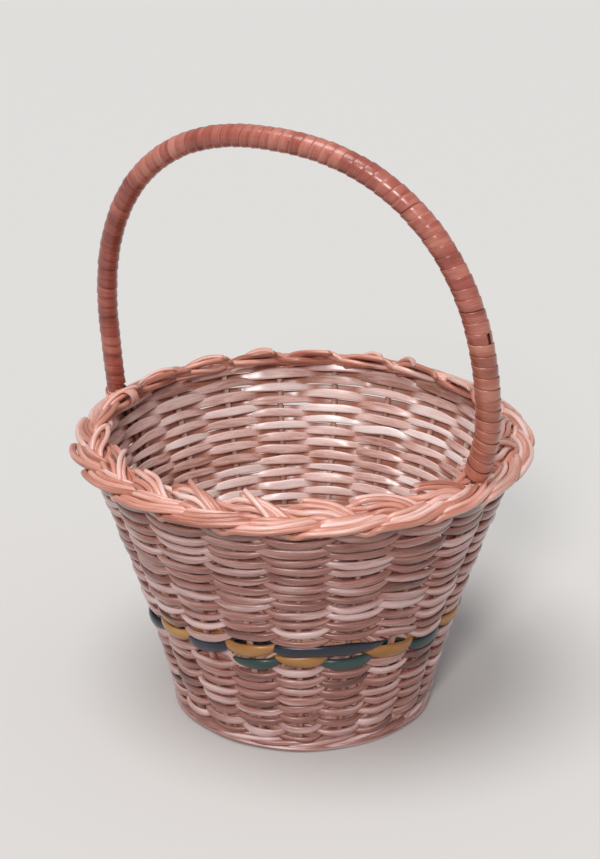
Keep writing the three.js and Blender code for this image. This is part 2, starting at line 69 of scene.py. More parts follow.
WALL_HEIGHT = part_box("upper_siding")[1].z
WALE_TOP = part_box("bottom_wale")[1].z
LOWER_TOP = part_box("lower_siding")[1].z
DYED_BOTTOM, DYED_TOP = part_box("dyed_row")[0].z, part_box("dyed_row")[1].z
WALL_THICKNESS = STAKE_DIAMETER + 2 * WEAVER_THICKNESS
print(f"wall {WALL_HEIGHT * 1000:.0f} mm high, dyed weavers from {DYED_BOTTOM * 1000:.0f} mm up")


def stake_radius(z):
    """Middle of the wall: a straight line from foot to top, less a parabola, less half the wall."""
    t = z / WALL_HEIGHT
    outside = FOOT_RADIUS + (TOP_RADIUS - FOOT_RADIUS) * t - WALL_HOLLOW * 4 * t * (1 - t)
    return outside - WALL_THICKNESS / 2


def stake_angle(count):
    """Angle of a stake, or of any place between stakes, counted in stakes from the first."""
    return FIRST_STAKE + np.asarray(count) * 2 * np.pi / STAKE_COUNT


def at(radius, angle, z):
    """Points from cylinder coordinates, with the three numbers along the last axis."""
    radius, angle, z = np.broadcast_arrays(radius, angle, z)
    return np.stack([radius * np.cos(angle), radius * np.sin(angle), z], axis=-1)


def unit(vectors):
    """The same directions with length one."""
    return vectors / np.linalg.norm(vectors, axis=-1, keepdims=True)


# %% [markdown]
# ## Carrying a section along a path
#
# A rod is a path and a section. At each point of the path the section needs two directions square
# to it. One is the direction that the rod's back faces, such as away from the wall, made square to
# the path; the other is square to both. Whole rods have a round section, and split willow has a
# round back and a flat face, and the same sweep carries both.

# %% A section and its sweep
def round_section(count):
    """A circle of radius one: cos(a) across and sin(a) out."""
    a = np.arange(count) * 2 * np.pi / count
    return np.stack([np.cos(a), np.sin(a)], axis=-1)


ARC_POINTS = 8


def split_section():
    """Split willow: an arc of bark a little over half a circle, and a flat face of four points,
    two of them close to the corners, so that its edges stay crisp under smooth shading."""
    a = np.linspace(np.radians(-10), np.radians(190), ARC_POINTS)
    arc = np.stack([np.cos(a), 0.1 + 0.9 * np.sin(a)], axis=-1)
    face = np.array([[-0.93, -0.52], [-0.6, -0.6], [0.6, -0.6], [0.93, -0.52]])
    return np.concatenate([arc, face])


def carried(path, facing, width, thickness, outline, roll=0.0):
    """Rings of a rod: each path point plus the outline's two numbers times the half width and half
    thickness, along two directions square to the path, turned about it by roll."""
    along = unit(np.gradient(path, axis=-2))
    out = unit(facing - along * np.sum(facing * along, axis=-1, keepdims=True))
    across = np.cross(along, out)
    roll = np.broadcast_to(roll, path.shape[:-1])[..., None]
    turned_out = out * np.cos(roll) + across * np.sin(roll)
    turned_across = across * np.cos(roll) - out * np.sin(roll)
    half_width = np.broadcast_to(width, path.shape[:-1])[..., None, None] / 2
    half_thickness = np.broadcast_to(thickness, path.shape[:-1])[..., None, None] / 2
    sideways = turned_across[..., None, :] * outline[:, :1] * half_width
    outwards = turned_out[..., None, :] * outline[:, 1:] * half_thickness
    return path[..., None, :] + sideways + outwards


def lengths_along(path):
    """How far along its path each point lies: the steps' lengths, added up."""
    steps = np.linalg.norm(np.diff(path, axis=-2), axis=-1)
    return np.concatenate([np.zeros(path.shape[:-2] + (1,)), np.cumsum(steps, axis=-1)], axis=-1)


def wrapped_round(points):
    """Closed paths with their last point once more before them and their first one after them."""
    return np.concatenate([points[:, -1:], points, points[:, :1]], axis=1)


def closed_rings(path, facing, width, thickness, outline):
    """Rings of rods that close on themselves, whose seam turns as smoothly as the rest."""
    rings = carried(wrapped_round(path), wrapped_round(facing), width, thickness, outline)
    return rings[:, 1:-1]


# %% [markdown]
# ## From rings to a mesh
#
# Many rods of one kind go into one mesh. Their rings are one array with four axes: rod, ring,
# point, coordinate. The faces then come from index arithmetic on that grid, as whole arrays. Each
# rod keeps a UV map that runs along it in metres and once round it, so that grain can follow it,
# and two attributes for the finish: a tone that differs from rod to rod, and how pale a face is.

# %% Rods to one mesh
def rods_mesh(name, rings, run, tone, pale, closed=False):
    """A mesh of tubes on a grid: corner (i, j) joins (i + 1, j), (i + 1, j + 1) and (i, j + 1), with
    j going round, and open tubes get an end face of all their corners."""
    rods, count, points = rings.shape[:3]
    i = np.arange(count if closed else count - 1)
    j = np.arange(points)
    first = (np.arange(rods) * count * points)[:, None, None]
    low = (i * points)[None, :, None]
    high = (((i + 1) % count) * points)[None, :, None]
    near = j[None, None, :]
    far = ((j + 1) % points)[None, None, :]
    corners = [first + low + near, first + high + near, first + high + far, first + low + far]
    quads = np.stack(np.broadcast_arrays(*corners), axis=-1).reshape(-1, 4)
    u = np.stack([run[:, i], run[:, (i + 1) % count]], axis=-1)
    if closed:
        u[:, -1, 1] = u[:, -1, 0] + (u[:, 0, 1] - u[:, 0, 0])
    u = np.broadcast_to(u[:, :, None, :], (rods, len(i), points, 2))
    v = np.broadcast_to(np.stack([j, j + 1], axis=-1) / points, (rods, len(i), points, 2))
    round_a_quad = ((0, 0), (1, 0), (1, 1), (0, 1))
    quad_uv = np.stack([part for m, n in round_a_quad for part in (u[..., m], v[..., n])], axis=-1)
    faces = quads.tolist()
    uv = [quad_uv.reshape(-1, 2)]
    if not closed:
        start = first[:, :, 0] + j[None, :]
        end = first[:, :, 0] + (count - 1) * points + j[None, ::-1]
        faces += start.tolist() + end.tolist()
        for place in (run[:, 0], run[:, -1]):
            end_uv = np.broadcast_arrays(place[:, None], j[None, :] / points)
            uv.append(np.stack(end_uv, axis=-1).reshape(-1, 2))
    mesh = bpy.data.meshes.new(name)
    mesh.from_pydata(rings.reshape(-1, 3), [], faces)
    smooth = np.arange(len(faces)) < len(quads)
    mesh.polygons.foreach_set("use_smooth", smooth)
    layer = mesh.uv_layers.new(name="rod")
    layer.data.foreach_set("uv", np.concatenate(uv).astype(np.float32).ravel())
    for label, values in (("tone", tone[:, None, None]), ("pale", pale)):
        spread = np.broadcast_to(values, (rods, count, points)).astype(np.float32)
        mesh.attributes.new(label, "FLOAT", "POINT").data.foreach_set("value", spread.ravel())
    mesh.update()
    return mesh


def piece(name, mesh, material, nodes):
    """An object for a finished mesh: it rides with the basket and stands for its solids."""
    thing = bpy.data.objects.new(name, mesh)
    bpy.context.scene.collection.objects.link(thing)
    mesh.materials.append(material)
    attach(thing, "root")
    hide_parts(*nodes)
    corner = np.zeros(len(mesh.polygons), np.int32)
    mesh.polygons.foreach_get("loop_total", corner)
    print(f"{name}: {int((corner - 2).sum())} triangles")
    return thing


def wander(seed, shape, knots, size):
    """A value that wanders along an array's last axis: random heights at evenly spaced knots, with
    a smooth step between each two."""
    random = np.random.default_rng(seed)
    heights = random.normal(0, size, shape[:-1] + (knots,))
    place = np.linspace(0, knots - 1, shape[-1])
    low = np.minimum(place.astype(int), knots - 2)
    t = place - low
    t = t * t * (3 - 2 * t)
    return heights[..., low] * (1 - t) + heights[..., low + 1] * t


# %% [markdown]
# ## Willow finishes
#
# Willow is a warm tan that turns pinkish where its bark was stripped, with fine fibres along the
# rod, a few darker knots and a satin gloss. Split willow also shows its pale inner wood on the
# flat face, warmer along the two edges. All of it is built from noise on the rod's own UV map,
# stretched along the rod, and from the two attributes that the mesh carries.

# %% Node helpers
def rgb(red, green, blue):
    """A colour written as it looks on screen, from 0 to 255, turned into the linear one."""
    c = np.array([red, green, blue]) / 255
    linear = np.where(c <= 0.04045, c / 12.92, ((c + 0.055) / 1.055) ** 2.4)
    return (*linear.tolist(), 1.0)


class Finish:
    """A material with its shader, and short ways to add and join nodes."""

    def __init__(self, name, roughness, coat=0.0):
        self.material = bpy.data.materials.new(name)
        self.material.use_nodes = True
        self.tree = self.material.node_tree
        self.shader = self.tree.nodes["Principled BSDF"]
        self.shader.inputs["Roughness"].default_value = roughness
        self.shader.inputs["Coat Weight"].default_value = coat
        self.shader.inputs["Coat Roughness"].default_value = 0.25

    def node(self, kind, values=None, **settings):
        made = self.tree.nodes.new(kind)
        for key, value in settings.items():
            setattr(made, key, value)
        for key, value in (values or {}).items():
            if isinstance(value, bpy.types.NodeSocket):
                self.tree.links.new(value, made.inputs[key])
            else:
                made.inputs[key].default_value = value
        return made

    def math(self, operation, a, b=0.0, clamp=False):
        made = self.node("ShaderNodeMath", {0: a, 1: b}, operation=operation, use_clamp=clamp)
        return made.outputs[0]

    def around_half(self, value, strength):
        """A value's distance above or below one half, times a strength."""
        return self.math("MULTIPLY", self.math("SUBTRACT", value, 0.5), strength)

    def attribute(self, name):
        return self.node("ShaderNodeAttribute", attribute_name=name).outputs["Fac"]

    def rod_place(self, scale, tone):
        """UV along and round the rod, scaled, and shifted by the rod's tone so that no two match."""
        uv = self.node("ShaderNodeUVMap", uv_map="rod").outputs[0]
        shift = self.node("ShaderNodeCombineXYZ", {2: self.math("MULTIPLY", tone, 91.0)}).outputs[0]
        scaled = self.node("ShaderNodeVectorMath", {0: uv, 1: scale}, operation="MULTIPLY").outputs[0]
        return self.node("ShaderNodeVectorMath", {0: scaled, 1: shift}, operation="ADD").outputs[0]

    def noise(self, where, scale, detail=3.0, roughness=0.6):
        values = {"Vector": where, "Scale": scale, "Detail": detail, "Roughness": roughness}
        return self.node("ShaderNodeTexNoise", values).outputs["Fac"]

    def ramp(self, fac, stops):
        """A colour ramp. Each stop is its position and its colour as it looks on screen."""
        made = self.node("ShaderNodeValToRGB", {0: fac})
        elements = made.color_ramp.elements
        for element, (position, color) in zip(elements, (stops[0], stops[-1])):
            element.position, element.color = position, rgb(*color)
        for position, color in stops[1:-1]:
            elements.new(position).color = rgb(*color)
        return made.outputs[0]

    def mix(self, fac, a, b):
        made = self.node("ShaderNodeMix", data_type="RGBA")
        for index, value in ((0, fac), (6, a), (7, b)):
            if isinstance(value, bpy.types.NodeSocket):
                self.tree.links.new(value, made.inputs[index])
            else:
                made.inputs[index].default_value = value
        return made.outputs[2]

    def finish(self, color, height=None, bump=0.3, depth=0.0003, roughness=None):
        self.tree.links.new(color, self.shader.inputs["Base Color"])
        if roughness is not None:
            self.tree.links.new(roughness, self.shader.inputs["Roughness"])
        if height is not None:
            made = self.node("ShaderNodeBump", {"Strength": bump, "Distance": depth, "Height": height})
            self.tree.links.new(made.outputs[0], self.shader.inputs["Normal"])
        return self.material


# %% The willow material
KNOT_BROWN = rgb(92, 52, 40)
EDGE_ORANGE = rgb(204, 126, 92)
PALE_FACE = [(0.24, (176, 120, 102)), (0.47, (236, 197, 187)), (0.76, (254, 236, 232))]


def willow(name, dark, middle, light, roughness, coat=0.15):
    """Bark side from dark to light by the rod's tone, slow blotches and long fibres; the flat face
    pale; and a warm line where the two meet, which is half way along the pale attribute."""
    f = Finish(name, roughness, coat)
    tone = f.attribute("tone")
    pale = f.attribute("pale")
    fibres = f.noise(f.rod_place((60, 30, 1), tone), 1.0, 4.0, 0.7)
    blotches = f.noise(f.rod_place((11, 2.0, 1), tone), 1.0, 3.0, 0.55)
    fibre_shade = f.around_half(fibres, 0.8)
    blotch_shade = f.around_half(blotches, 1.8)
    shade = f.math("ADD", f.math("MULTIPLY", tone, 0.42), f.math("ADD", fibre_shade, blotch_shade))
    shade = f.math("ADD", shade, 0.32, clamp=True)
    bark = f.ramp(shade, [(0.08, dark), (0.5, middle), (0.88, light)])
    knots = f.noise(f.rod_place((38, 2.5, 1), tone), 1.0, 2.0, 0.4)
    knot_mask = f.math("MULTIPLY", f.math("SUBTRACT", knots, 0.69), 9.0, clamp=True)
    bark = f.mix(f.math("MULTIPLY", knot_mask, 0.7), bark, KNOT_BROWN)
    wood_shade = f.math("ADD", blotches, f.math("MULTIPLY", fibre_shade, 0.7))
    wood_shade = f.math("ADD", wood_shade, f.around_half(tone, 0.35))
    wood = f.ramp(wood_shade, PALE_FACE)
    # Behind the outside passes the pale attribute is lowered, so these mixes paint those flat faces
    # darker and orange-brown, as painted shade
    color = f.mix(pale, bark, wood)
    off_middle = f.math("ABSOLUTE", f.math("SUBTRACT", f.math("MULTIPLY", pale, 2.0), 1.0))
    edge = f.math("SUBTRACT", 1.0, off_middle, clamp=True)
    color = f.mix(f.math("MULTIPLY", edge, 0.85), color, EDGE_ORANGE)
    roughness_here = f.math("ADD", f.math("MULTIPLY", fibres, 0.22), roughness - 0.1)
    return f.finish(color, fibres, 0.4, 0.0004, roughness_here)


siding_finish = willow(
    "siding_willow", (106, 58, 48), (190, 127, 114), (250, 212, 208), roughness=0.26, coat=0.75
)
border_finish = willow(
    "border_willow", (163, 92, 71), (226, 154, 132), (251, 214, 203), roughness=0.26, coat=0.6
)
stake_finish = willow(
    "stake_willow", (158, 104, 82), (206, 160, 142), (240, 212, 198), roughness=0.5, coat=0.05
)
base_finish = willow(
    "base_willow", (138, 88, 66), (186, 138, 116), (222, 184, 164), roughness=0.6
)
print("willow finishes:", siding_finish.name, border_finish.name, stake_finish.name, base_finish.name)


# %% [markdown]
# ## Stakes
#
# A stake is a whole rod. It is pushed into the edge of the base, bends up inside the bottom wale
# and climbs the wall, thinner towards its tip. Each stake stays a piece of its own. Its root goes
# out level to the wall's middle, and it starts to climb a little before it gets there, which
# rounds the bend between the two parts.

# %% Stakes
ROD_POINTS = 12
STAKE_STEPS = 64
ROOT_LENGTH = 0.021
ROOT_SHARE = 0.13
CLIMB_START = 0.1
STAKE_OVER_WALL = 0.004
STAKE_TAPER = (1.06, 0.94)
# Stakes sway a little sideways, which at the wall's mean radius is this far
STAKE_SWAY, MEAN_RADIUS = 0.0004, 0.13
BASE_MIDDLE = (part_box("base_weave")[0].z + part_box("base_weave")[1].z) / 2


def stake_path(count):
    """Radius and height against t: the radius goes out to the wall's middle while t is small, as
    a power of t, and the height rises from the base's middle as a power of t a little later."""
    t = np.linspace(0, 1, STAKE_STEPS)
    root = stake_radius(0) - ROOT_LENGTH
    climb = np.clip((t - CLIMB_START) / (1 - CLIMB_START), 0, 1)
    z_wall = BASE_MIDDLE + (WALL_HEIGHT + STAKE_OVER_WALL - BASE_MIDDLE) * climb ** 1.15
    level = root + (stake_radius(z_wall) - root) * np.clip(t / ROOT_SHARE, 0, 1) ** 0.8
    sway = wander(500 + count, (STAKE_STEPS,), 6, STAKE_SWAY)
    return at(level, stake_angle(count) + sway / MEAN_RADIUS, z_wall)


for count in range(STAKE_COUNT):
    path = stake_path(count)
    sideways = at(1.0, stake_angle(count) + np.pi / 2, 0.0)
    thickness = np.linspace(*STAKE_TAPER, len(path)) * STAKE_DIAMETER
    rings = carried(path, sideways, thickness, thickness, round_section(ROD_POINTS))[None]
    tone = np.random.default_rng(count).uniform(0.2, 0.8, 1)
    label = f"stake_{count + 1:02d}"
    mesh = rods_mesh(f"{label}_rod", rings, lengths_along(path)[None], tone, np.zeros(1))
    piece(f"{label}_rod", mesh, stake_finish, [label])

# %% [markdown]
# ## Weaving the siding
#
# Count places round the wall in stakes, and let s be that count as a weaver goes round and round.
# Its distance from the wall's middle is then cos(pi s): outside at one stake, inside at the next.
# A hard push against each stake squares that wave a little, which tanh does. Its height rises with
# s. That one pair of formulas weaves the whole siding. Real weavers are only some 26 stakes long,
# so the spiral is cut into lengths, each with its own width and colour, and each end is hidden on
# the inside, behind a stake.

# %% One weaver's path
PUSH = 1.35


def weave_side(s):
    """1 outside, -1 inside: a cosine over the stake count, squared off by tanh."""
    return np.tanh(PUSH * np.cos(np.pi * s)) / np.tanh(PUSH)


def wall_facing(angle, z):
    """The wall's outward normal: radial, less the wall's lean, to length one."""
    step = 0.001
    slope = (stake_radius(z + step) - stake_radius(z - step)) / (2 * step)
    return unit(at(np.ones_like(angle), angle, -slope))


SPLIT = split_section()
FLAT_FACE = np.arange(len(SPLIT)) >= ARC_POINTS
# How far the flat face lies behind the section's middle, in half thicknesses
FACE_DEPTH = 0.6
SLIP = 0.0010
# How much narrower and thicker a weaver is between two stakes, and how far it turns, in radians
PINCH, SWELL, ON_EDGE = 0.3, 0.3, 0.16


def weavers(s, z, width, thickness, side, seed):
    """Rings of split weavers: s and z are rod by ring, and side is how far out each place lies,
    along the wall's normal. The flat face rests on a stake outside, and the round back inside.
    Between stakes a weaver is squeezed narrower and thicker, and turns on edge a little."""
    angle = stake_angle(s)
    resting = np.where(side > 0, FACE_DEPTH, 1.0) * thickness / 2
    offset = side * (STAKE_DIAMETER / 2 + resting) + wander(seed + 1, s.shape, 40, 0.0004)
    # Pulled tight, the outside passes slip down a little and the inside passes up
    z = z + wander(seed, s.shape, 44, 0.0005) - SLIP * side
    facing = wall_facing(angle, z)
    path = at(stake_radius(z), angle, z) + facing * offset[..., None]
    between = 1 - np.abs(side)
    roll = wander(seed + 2, s.shape, 36, 0.10) + ON_EDGE * between
    squeezed = width * (1 - PINCH * between)
    rings = carried(path, facing, squeezed, thickness * (1 + SWELL * between), SPLIT, roll)
    return rings, lengths_along(path)


# %% [markdown]
# ## Rounds that start and end level
#
# A plain spiral would leave a wedge of air under its first round and over its last. A weaver beats
# the rows down tight, so the first round lies level on the wale, and then climbs over its own start
# within a few stakes. Further up the climb spreads out over the whole round, and it closes up
# again under the border. The row number below says all of this in one formula.

# %% Row number along the spiral
CLIMB_SHARE = 0.14
SPREAD_ROUNDS = 5


def step_between(x, low, high):
    """0 below low, 1 above high, and a smooth step between."""
    t = np.clip((x - low) / (high - low), 0, 1)
    return t * t * (3 - 2 * t)


def level_share(rounds):
    """The share of a round that lies level instead of climbing: all but its last part, fading out
    as the rounds go on."""
    begun = np.mod(rounds, 1)
    level = np.clip(1 - (rounds - 1) / SPREAD_ROUNDS, 0, 1)
    return level * (begun - step_between(begun, 1 - CLIMB_SHARE, 1))


def row_number(s, start, end):
    """Rounds since the start, less the share of this round that is not climbed yet near the bottom,
    plus the share that is climbed early near the top."""
    passed, left = (s - start) / STAKE_COUNT, (end - s) / STAKE_COUNT
    return passed - level_share(passed) + level_share(left)


# %% Siding between two heights
RINGS_PER_STAKE = 11
WEAVER_STAKES = 26
# How far a length laps over the next one, and how far from its end it starts to thin out, in stakes
LAP, TUCK = 0.35, 0.5
# Share of its thickness at a tucked end, and how much further in that end lies
TUCKED_SHARE, TUCKED_IN = 0.45, 0.2
SPLIT_THICKNESS = 0.0036
# Share of the thickness at the butt, and how much of it is lost by the tip
BUTT_SHARE, TIP_LOSS = 1.12, 0.25
BUTT_WIDTHS, TIP_WIDTHS = (0.0068, 0.0086), (0.0060, 0.0068)
# How much of the flat face's pale colour is taken away behind the outside passes, as painted shade
HIDDEN_FACE_SHADE = 0.75
CROSSING_WANDER = 0.055
# The last rounds under the border are wide strips, and the rounds below them grow towards them
WIDE_ROUNDS = (2.5, 2.1)
GROWING_ROUNDS = (7.5, 3.0)
GROWN_SHARE = 0.45


def from_share(least, t):
    """Grows in a straight line from a least share to 1 while t goes from 0 to 1."""
    return least + (1 - least) * t


def siding(name, low, high, start, end, outside_at, seed, nodes, lift=None, top_widening=0.0):
    """Lengths of one spiral from start to end, counted in stakes, outside at each stake with the
    parity of outside_at; lift raises places where other weavers push the rows up."""
    random = np.random.default_rng(seed)
    lengths = int(round((end - start) / WEAVER_STAKES))
    joins = start + 2 * np.round(np.arange(1, lengths) * (end - start) / lengths / 2)
    first = np.concatenate([[start], joins])
    last = np.concatenate([joins, [end]])
    # Each length laps over the next one inside, behind a stake
    s = np.linspace(first - LAP, last + LAP, WEAVER_STAKES * RINGS_PER_STAKE, axis=-1)
    rows = (end - start) / STAKE_COUNT
    pitch = (high - low) / (rows + 1)
    z = low + pitch / 2 + pitch * row_number(np.clip(s, start, end), start, end)
    if lift is not None:
        z = z + lift(s, z)
    # A weaver is wide at its butt and narrow at its tip, and thins out where it tucks in
    t = np.linspace(0, 1, s.shape[1])[None, :]
    butt = random.uniform(*BUTT_WIDTHS, (lengths, 1))
    tip = random.uniform(*TIP_WIDTHS, (lengths, 1))
    width = butt + (tip - butt) * t + wander(seed + 7, s.shape, 26, 0.0005)
    left = (end - s) / STAKE_COUNT
    widest = step_between(-left, -WIDE_ROUNDS[0], -WIDE_ROUNDS[1])
    growing = GROWN_SHARE * step_between(-left, -GROWING_ROUNDS[0], -GROWING_ROUNDS[1])
    width = width * (1 + top_widening * np.maximum(widest, growing))
    in_stakes = np.minimum(s - s[:, :1], s[:, -1:] - s)
    tuck = np.clip(in_stakes / TUCK, 0, 1)
    thickness = SPLIT_THICKNESS * from_share(TUCKED_SHARE, tuck) * (BUTT_SHARE - TIP_LOSS * t)
    # No two passes cross between the same two stakes at quite the same place
    crossing = wander(seed + 9, s.shape, 52, CROSSING_WANDER)
    tucked_in = TUCKED_IN * (1 - tuck) * np.where(t < 0.5, 1, -1)
    side = weave_side(s + outside_at + crossing) + tucked_in
    rings, run = weavers(s, z, width, thickness, side, seed)
    tone = random.uniform(0, 1, lengths)
    # The flat face shows its pale wood inside the basket; behind the outside passes it is painted
    # darker and orange-brown, which is painted shade in the gaps of the weave
    pale = FLAT_FACE * (1 - HIDDEN_FACE_SHADE * np.clip(side, 0, 1))[..., None]
    mesh = rods_mesh(name, rings, run, tone, pale)
    print(f"{name}: {lengths} weavers, rows {pitch * 1000:.2f} mm apart")
    return piece(name, mesh, siding_finish, nodes)


# Places in the three spirals, counted in stakes, and the rounds of the two sidings
LOWER_START, DYED_START, DYED_END, UPPER_START = 1.0, 16.6, 40.4, 20.4
LOWER_ROUNDS, UPPER_ROUNDS = 15, 25.2
# The upper siding closes the gap up to the tilted border
SIDING_TOP = WALL_HEIGHT + 0.0062
# At the front its rows are lifted over the dyed weavers' ends: from, to and how far
LIFT_STARTS, LIFT_ENDS, LIFT = (14.6, 17.4), (19.6, 20.9), 0.0108


def over_the_dyed_ends(s, z):
    """The rows over the dyed weavers climb over their overlapping ends at the front, and the rise
    fades out towards the border."""
    place = np.mod(s, STAKE_COUNT)
    beside = step_between(place, *LIFT_STARTS) * (1 - step_between(place, *LIFT_ENDS))
    faded = np.clip(1 - (z - DYED_TOP) / (SIDING_TOP - DYED_TOP), 0, 1)
    return LIFT * beside * faded


siding(
    "lower_weave",
    low=WALE_TOP,
    high=LOWER_TOP,
    start=LOWER_START,
    end=DYED_START + LOWER_ROUNDS * STAKE_COUNT,
    outside_at=0,
    seed=11,
    nodes=["lower_siding"],
)
siding(
    "upper_weave",
    low=DYED_TOP,
    high=SIDING_TOP,
    start=UPPER_START,
    end=UPPER_START + UPPER_ROUNDS * STAKE_COUNT,
    outside_at=1,
    seed=23,
    nodes=["upper_siding"],
    lift=over_the_dyed_ends,
    top_widening=0.3,
)

# %% [markdown]
# ## The dyed weavers
#
# Two thicker dyed weavers run once round between the sidings, a dark one below a yellow one, each
# over one stake and under the next and a stake apart, so that their colours alternate. At the front
# their ends climb over their own start, and the dark one passes over its last two stakes in a row.
# The dark dye drifts from teal to navy along the rod.

# %% Dyed weavers
ROW = 0.0049
# Between these places, counted in stakes, a dyed weaver climbs over its own start
OVER_ITS_START = (STAKE_COUNT + 14.4, STAKE_COUNT + 17.9)
# A thick dyed rod stands out a little further than the rest, and tapers to its ends
DYED_REACH = 1.05
DYED_TAPER = 0.7
DYED_END_SHARES = (0.35, 0.4)
DYED_STEPS_PER_STAKE = 20


def dyed_weaver(
    name, outside_at, level, rod, start, end, climb, material, nodes, seed, kept_out=None
):
    """A weaver that is outside at every stake with the parity of outside_at, and rises by climb
    where it meets its own start. From kept_out on it stays outside, over two stakes in a row."""
    width, thickness = rod
    s = np.linspace(start, end, int((end - start) * DYED_STEPS_PER_STAKE))[None, :]
    z = DYED_BOTTOM + level + climb * step_between(s, *OVER_ITS_START)
    ends = np.clip(np.minimum(s - start, end - s) / DYED_TAPER, 0, 1) ** 0.5
    width = width * from_share(DYED_END_SHARES[0], ends)
    thickness = thickness * from_share(DYED_END_SHARES[1], ends)
    side = weave_side(s + outside_at) * DYED_REACH
    if kept_out is not None:
        kept = step_between(s, kept_out, kept_out + 0.3)
        kept = kept * (1 - step_between(s, end - 0.3, end + 0.1))
        side = side + (DYED_REACH - side) * kept
    rings, run = weavers(s, z, width, thickness, side, seed)
    mesh = rods_mesh(name, rings, run, np.array([0.5]), FLAT_FACE * 0.2)
    return piece(name, mesh, material, nodes)


# Length of a dyed rod once round the wall and a little further
DYED_ROD_LENGTH = 0.9


def dyed(name, stops, wood, drift):
    """A dyed rod: its colour drifts along its length, from 0 at its start to 1 at its end, with a
    slow noise on top, and worn fibres show the wood."""
    f = Finish(name, 0.3, 0.35)
    tone = f.attribute("tone")
    fibres = f.noise(f.rod_place((70, 26, 1), tone), 1.0, 4.0, 0.7)
    slow = f.noise(f.rod_place((22, 2.0, 1), tone), 1.0, 3.0, 0.6)
    uv = f.node("ShaderNodeUVMap", uv_map="rod").outputs[0]
    along = f.node("ShaderNodeSeparateXYZ", {0: uv}).outputs[0]
    drifted = f.math("MULTIPLY", along, drift / DYED_ROD_LENGTH)
    varied = f.around_half(slow, 1.1)
    color = f.ramp(f.math("ADD", f.math("ADD", drifted, varied), (1 - drift) / 2, clamp=True), stops)
    worn = f.math("MULTIPLY", f.math("SUBTRACT", fibres, 0.57), 3.5, clamp=True)
    color = f.mix(f.math("MULTIPLY", worn, 0.5), color, rgb(*wood))
    return f.finish(color, fibres, 0.35, 0.0004)


dark_dye = dyed(
    "dark_dye",
    [(0.05, (44, 72, 68)), (0.35, (24, 44, 48)), (0.7, (17, 27, 46)), (1.0, (13, 17, 36))],
    wood=(84, 100, 102),
    drift=0.8,
)
yellow_dye = dyed(
    "yellow_dye",
    [(0.15, (146, 90, 46)), (0.5, (192, 132, 66)), (0.85, (216, 166, 104))],
    wood=(226, 190, 142),
    drift=0.0,
)
dyed_weaver(
    "dyed_weaver_dark",
    outside_at=1,
    level=ROW * 0.5,
    rod=(0.0104, 0.0046),
    start=DYED_START,
    end=DYED_END + 0.3,
    climb=0.0148,
    material=dark_dye,
    nodes=["dyed_row"],
    seed=31,
    kept_out=STAKE_COUNT + 18.1,
)
dyed_weaver(
    "dyed_weaver_yellow",
    outside_at=0,
    level=ROW * 1.55,
    rod=(0.0110, 0.0048),
    start=DYED_START + 0.9,
    end=DYED_END - 1.7,
    climb=0.0092,
    material=yellow_dye,
    nodes=["dyed_overlap"],
    seed=37,
)

# %% [markdown]
# ## The bottom wale
#
# The first rows round the base are a wale: three rods that each pass outside two stakes and inside
# one, each a stake behind the last, so that they lie like a rope round the foot. The distance from
# the wall's middle is a wave three stakes long, kept outside for two thirds of it.

# %% Bottom wale
WALE_RODS = 3
WALE_ROWS = 2
WALE_ROD = 0.0042
STEPS_PER_STAKE = 14
# The shift outwards, how hard the wave is squared off, and its rise in rod diameters
WALE_SHIFT, WALE_PUSH, WALE_RISE = 0.45, 1.4, 0.42
# Share of the full distance from the stakes at which the rods lie when pulled tight
WALE_GRIP = 0.86


def wale_rods(name, nodes, seed):
    """Three closed rods in each row. With a phase over three stakes, the side is its cosine with a
    shift outwards, squared off by tanh, and the rise is its sine."""
    count = STAKE_COUNT * STEPS_PER_STAKE
    s = np.arange(count) * STAKE_COUNT / count
    rows, rods = np.meshgrid(np.arange(WALE_ROWS), np.arange(WALE_RODS), indexing="ij")
    rows, rods = rows.ravel()[:, None], rods.ravel()[:, None]
    phase = 2 * np.pi * (s[None, :] - rods - 0.5 * rows) / WALE_RODS
    side = np.tanh(WALE_PUSH * (np.cos(phase) + WALE_SHIFT)) / np.tanh(2.0)
    rise = np.sin(phase) * WALE_ROD * WALE_RISE
    z = WALE_ROD * 0.95 + rows * (WALE_TOP - WALE_ROD * 1.7) + rise
    z = np.maximum(z, WALE_ROD / 2 + 0.0002)
    reach = (STAKE_DIAMETER + WALE_ROD) / 2 * WALE_GRIP
    angle = stake_angle(s)[None, :]
    path = at(stake_radius(z) + side * reach - 0.0004, angle, z)
    facing = wall_facing(np.broadcast_to(angle, z.shape), z)
    rings = closed_rings(path, facing, WALE_ROD, WALE_ROD, round_section(ROD_POINTS))
    tone = np.random.default_rng(seed).uniform(0.1, 0.9, len(rings))
    mesh = rods_mesh(name, rings, lengths_along(path), tone, np.zeros(1), closed=True)
    return piece(name, mesh, siding_finish, nodes)


wale_rods("bottom_wale_rods", ["bottom_wale"], 41)

# %% The foot rod
FOOT_ROD = 0.0034
UP = np.array([0.0, 0.0, 1.0])


def foot_rod(name, nodes, seed):
    """One thin rod that runs round the foot outside the wale: a circle whose radius and height are
    waved by a few sines, closed on itself."""
    count = STAKE_COUNT * STEPS_PER_STAKE
    angle = np.arange(count)[None, :] * 2 * np.pi / count
    waves = 0.0004 * np.sin(5 * angle + 1.0) + 0.0003 * np.sin(11 * angle)
    radius = stake_radius(0) + WALL_THICKNESS / 2 + 0.0002 + waves
    z = FOOT_ROD / 2 + 0.0005 + 0.0004 * (1 + np.sin(3 * angle))
    path = at(radius, angle, z)
    facing = np.broadcast_to(UP, path.shape)
    rings = closed_rings(path, facing, FOOT_ROD, FOOT_ROD, round_section(ROD_POINTS))
    tone = np.random.default_rng(seed).uniform(0.4, 0.8, 1)
    mesh = rods_mesh(name, rings, lengths_along(path), tone, np.zeros(1), closed=True)
    return piece(name, mesh, siding_finish, nodes)


foot_rod("foot_rod", ["bottom_wale"], 43)

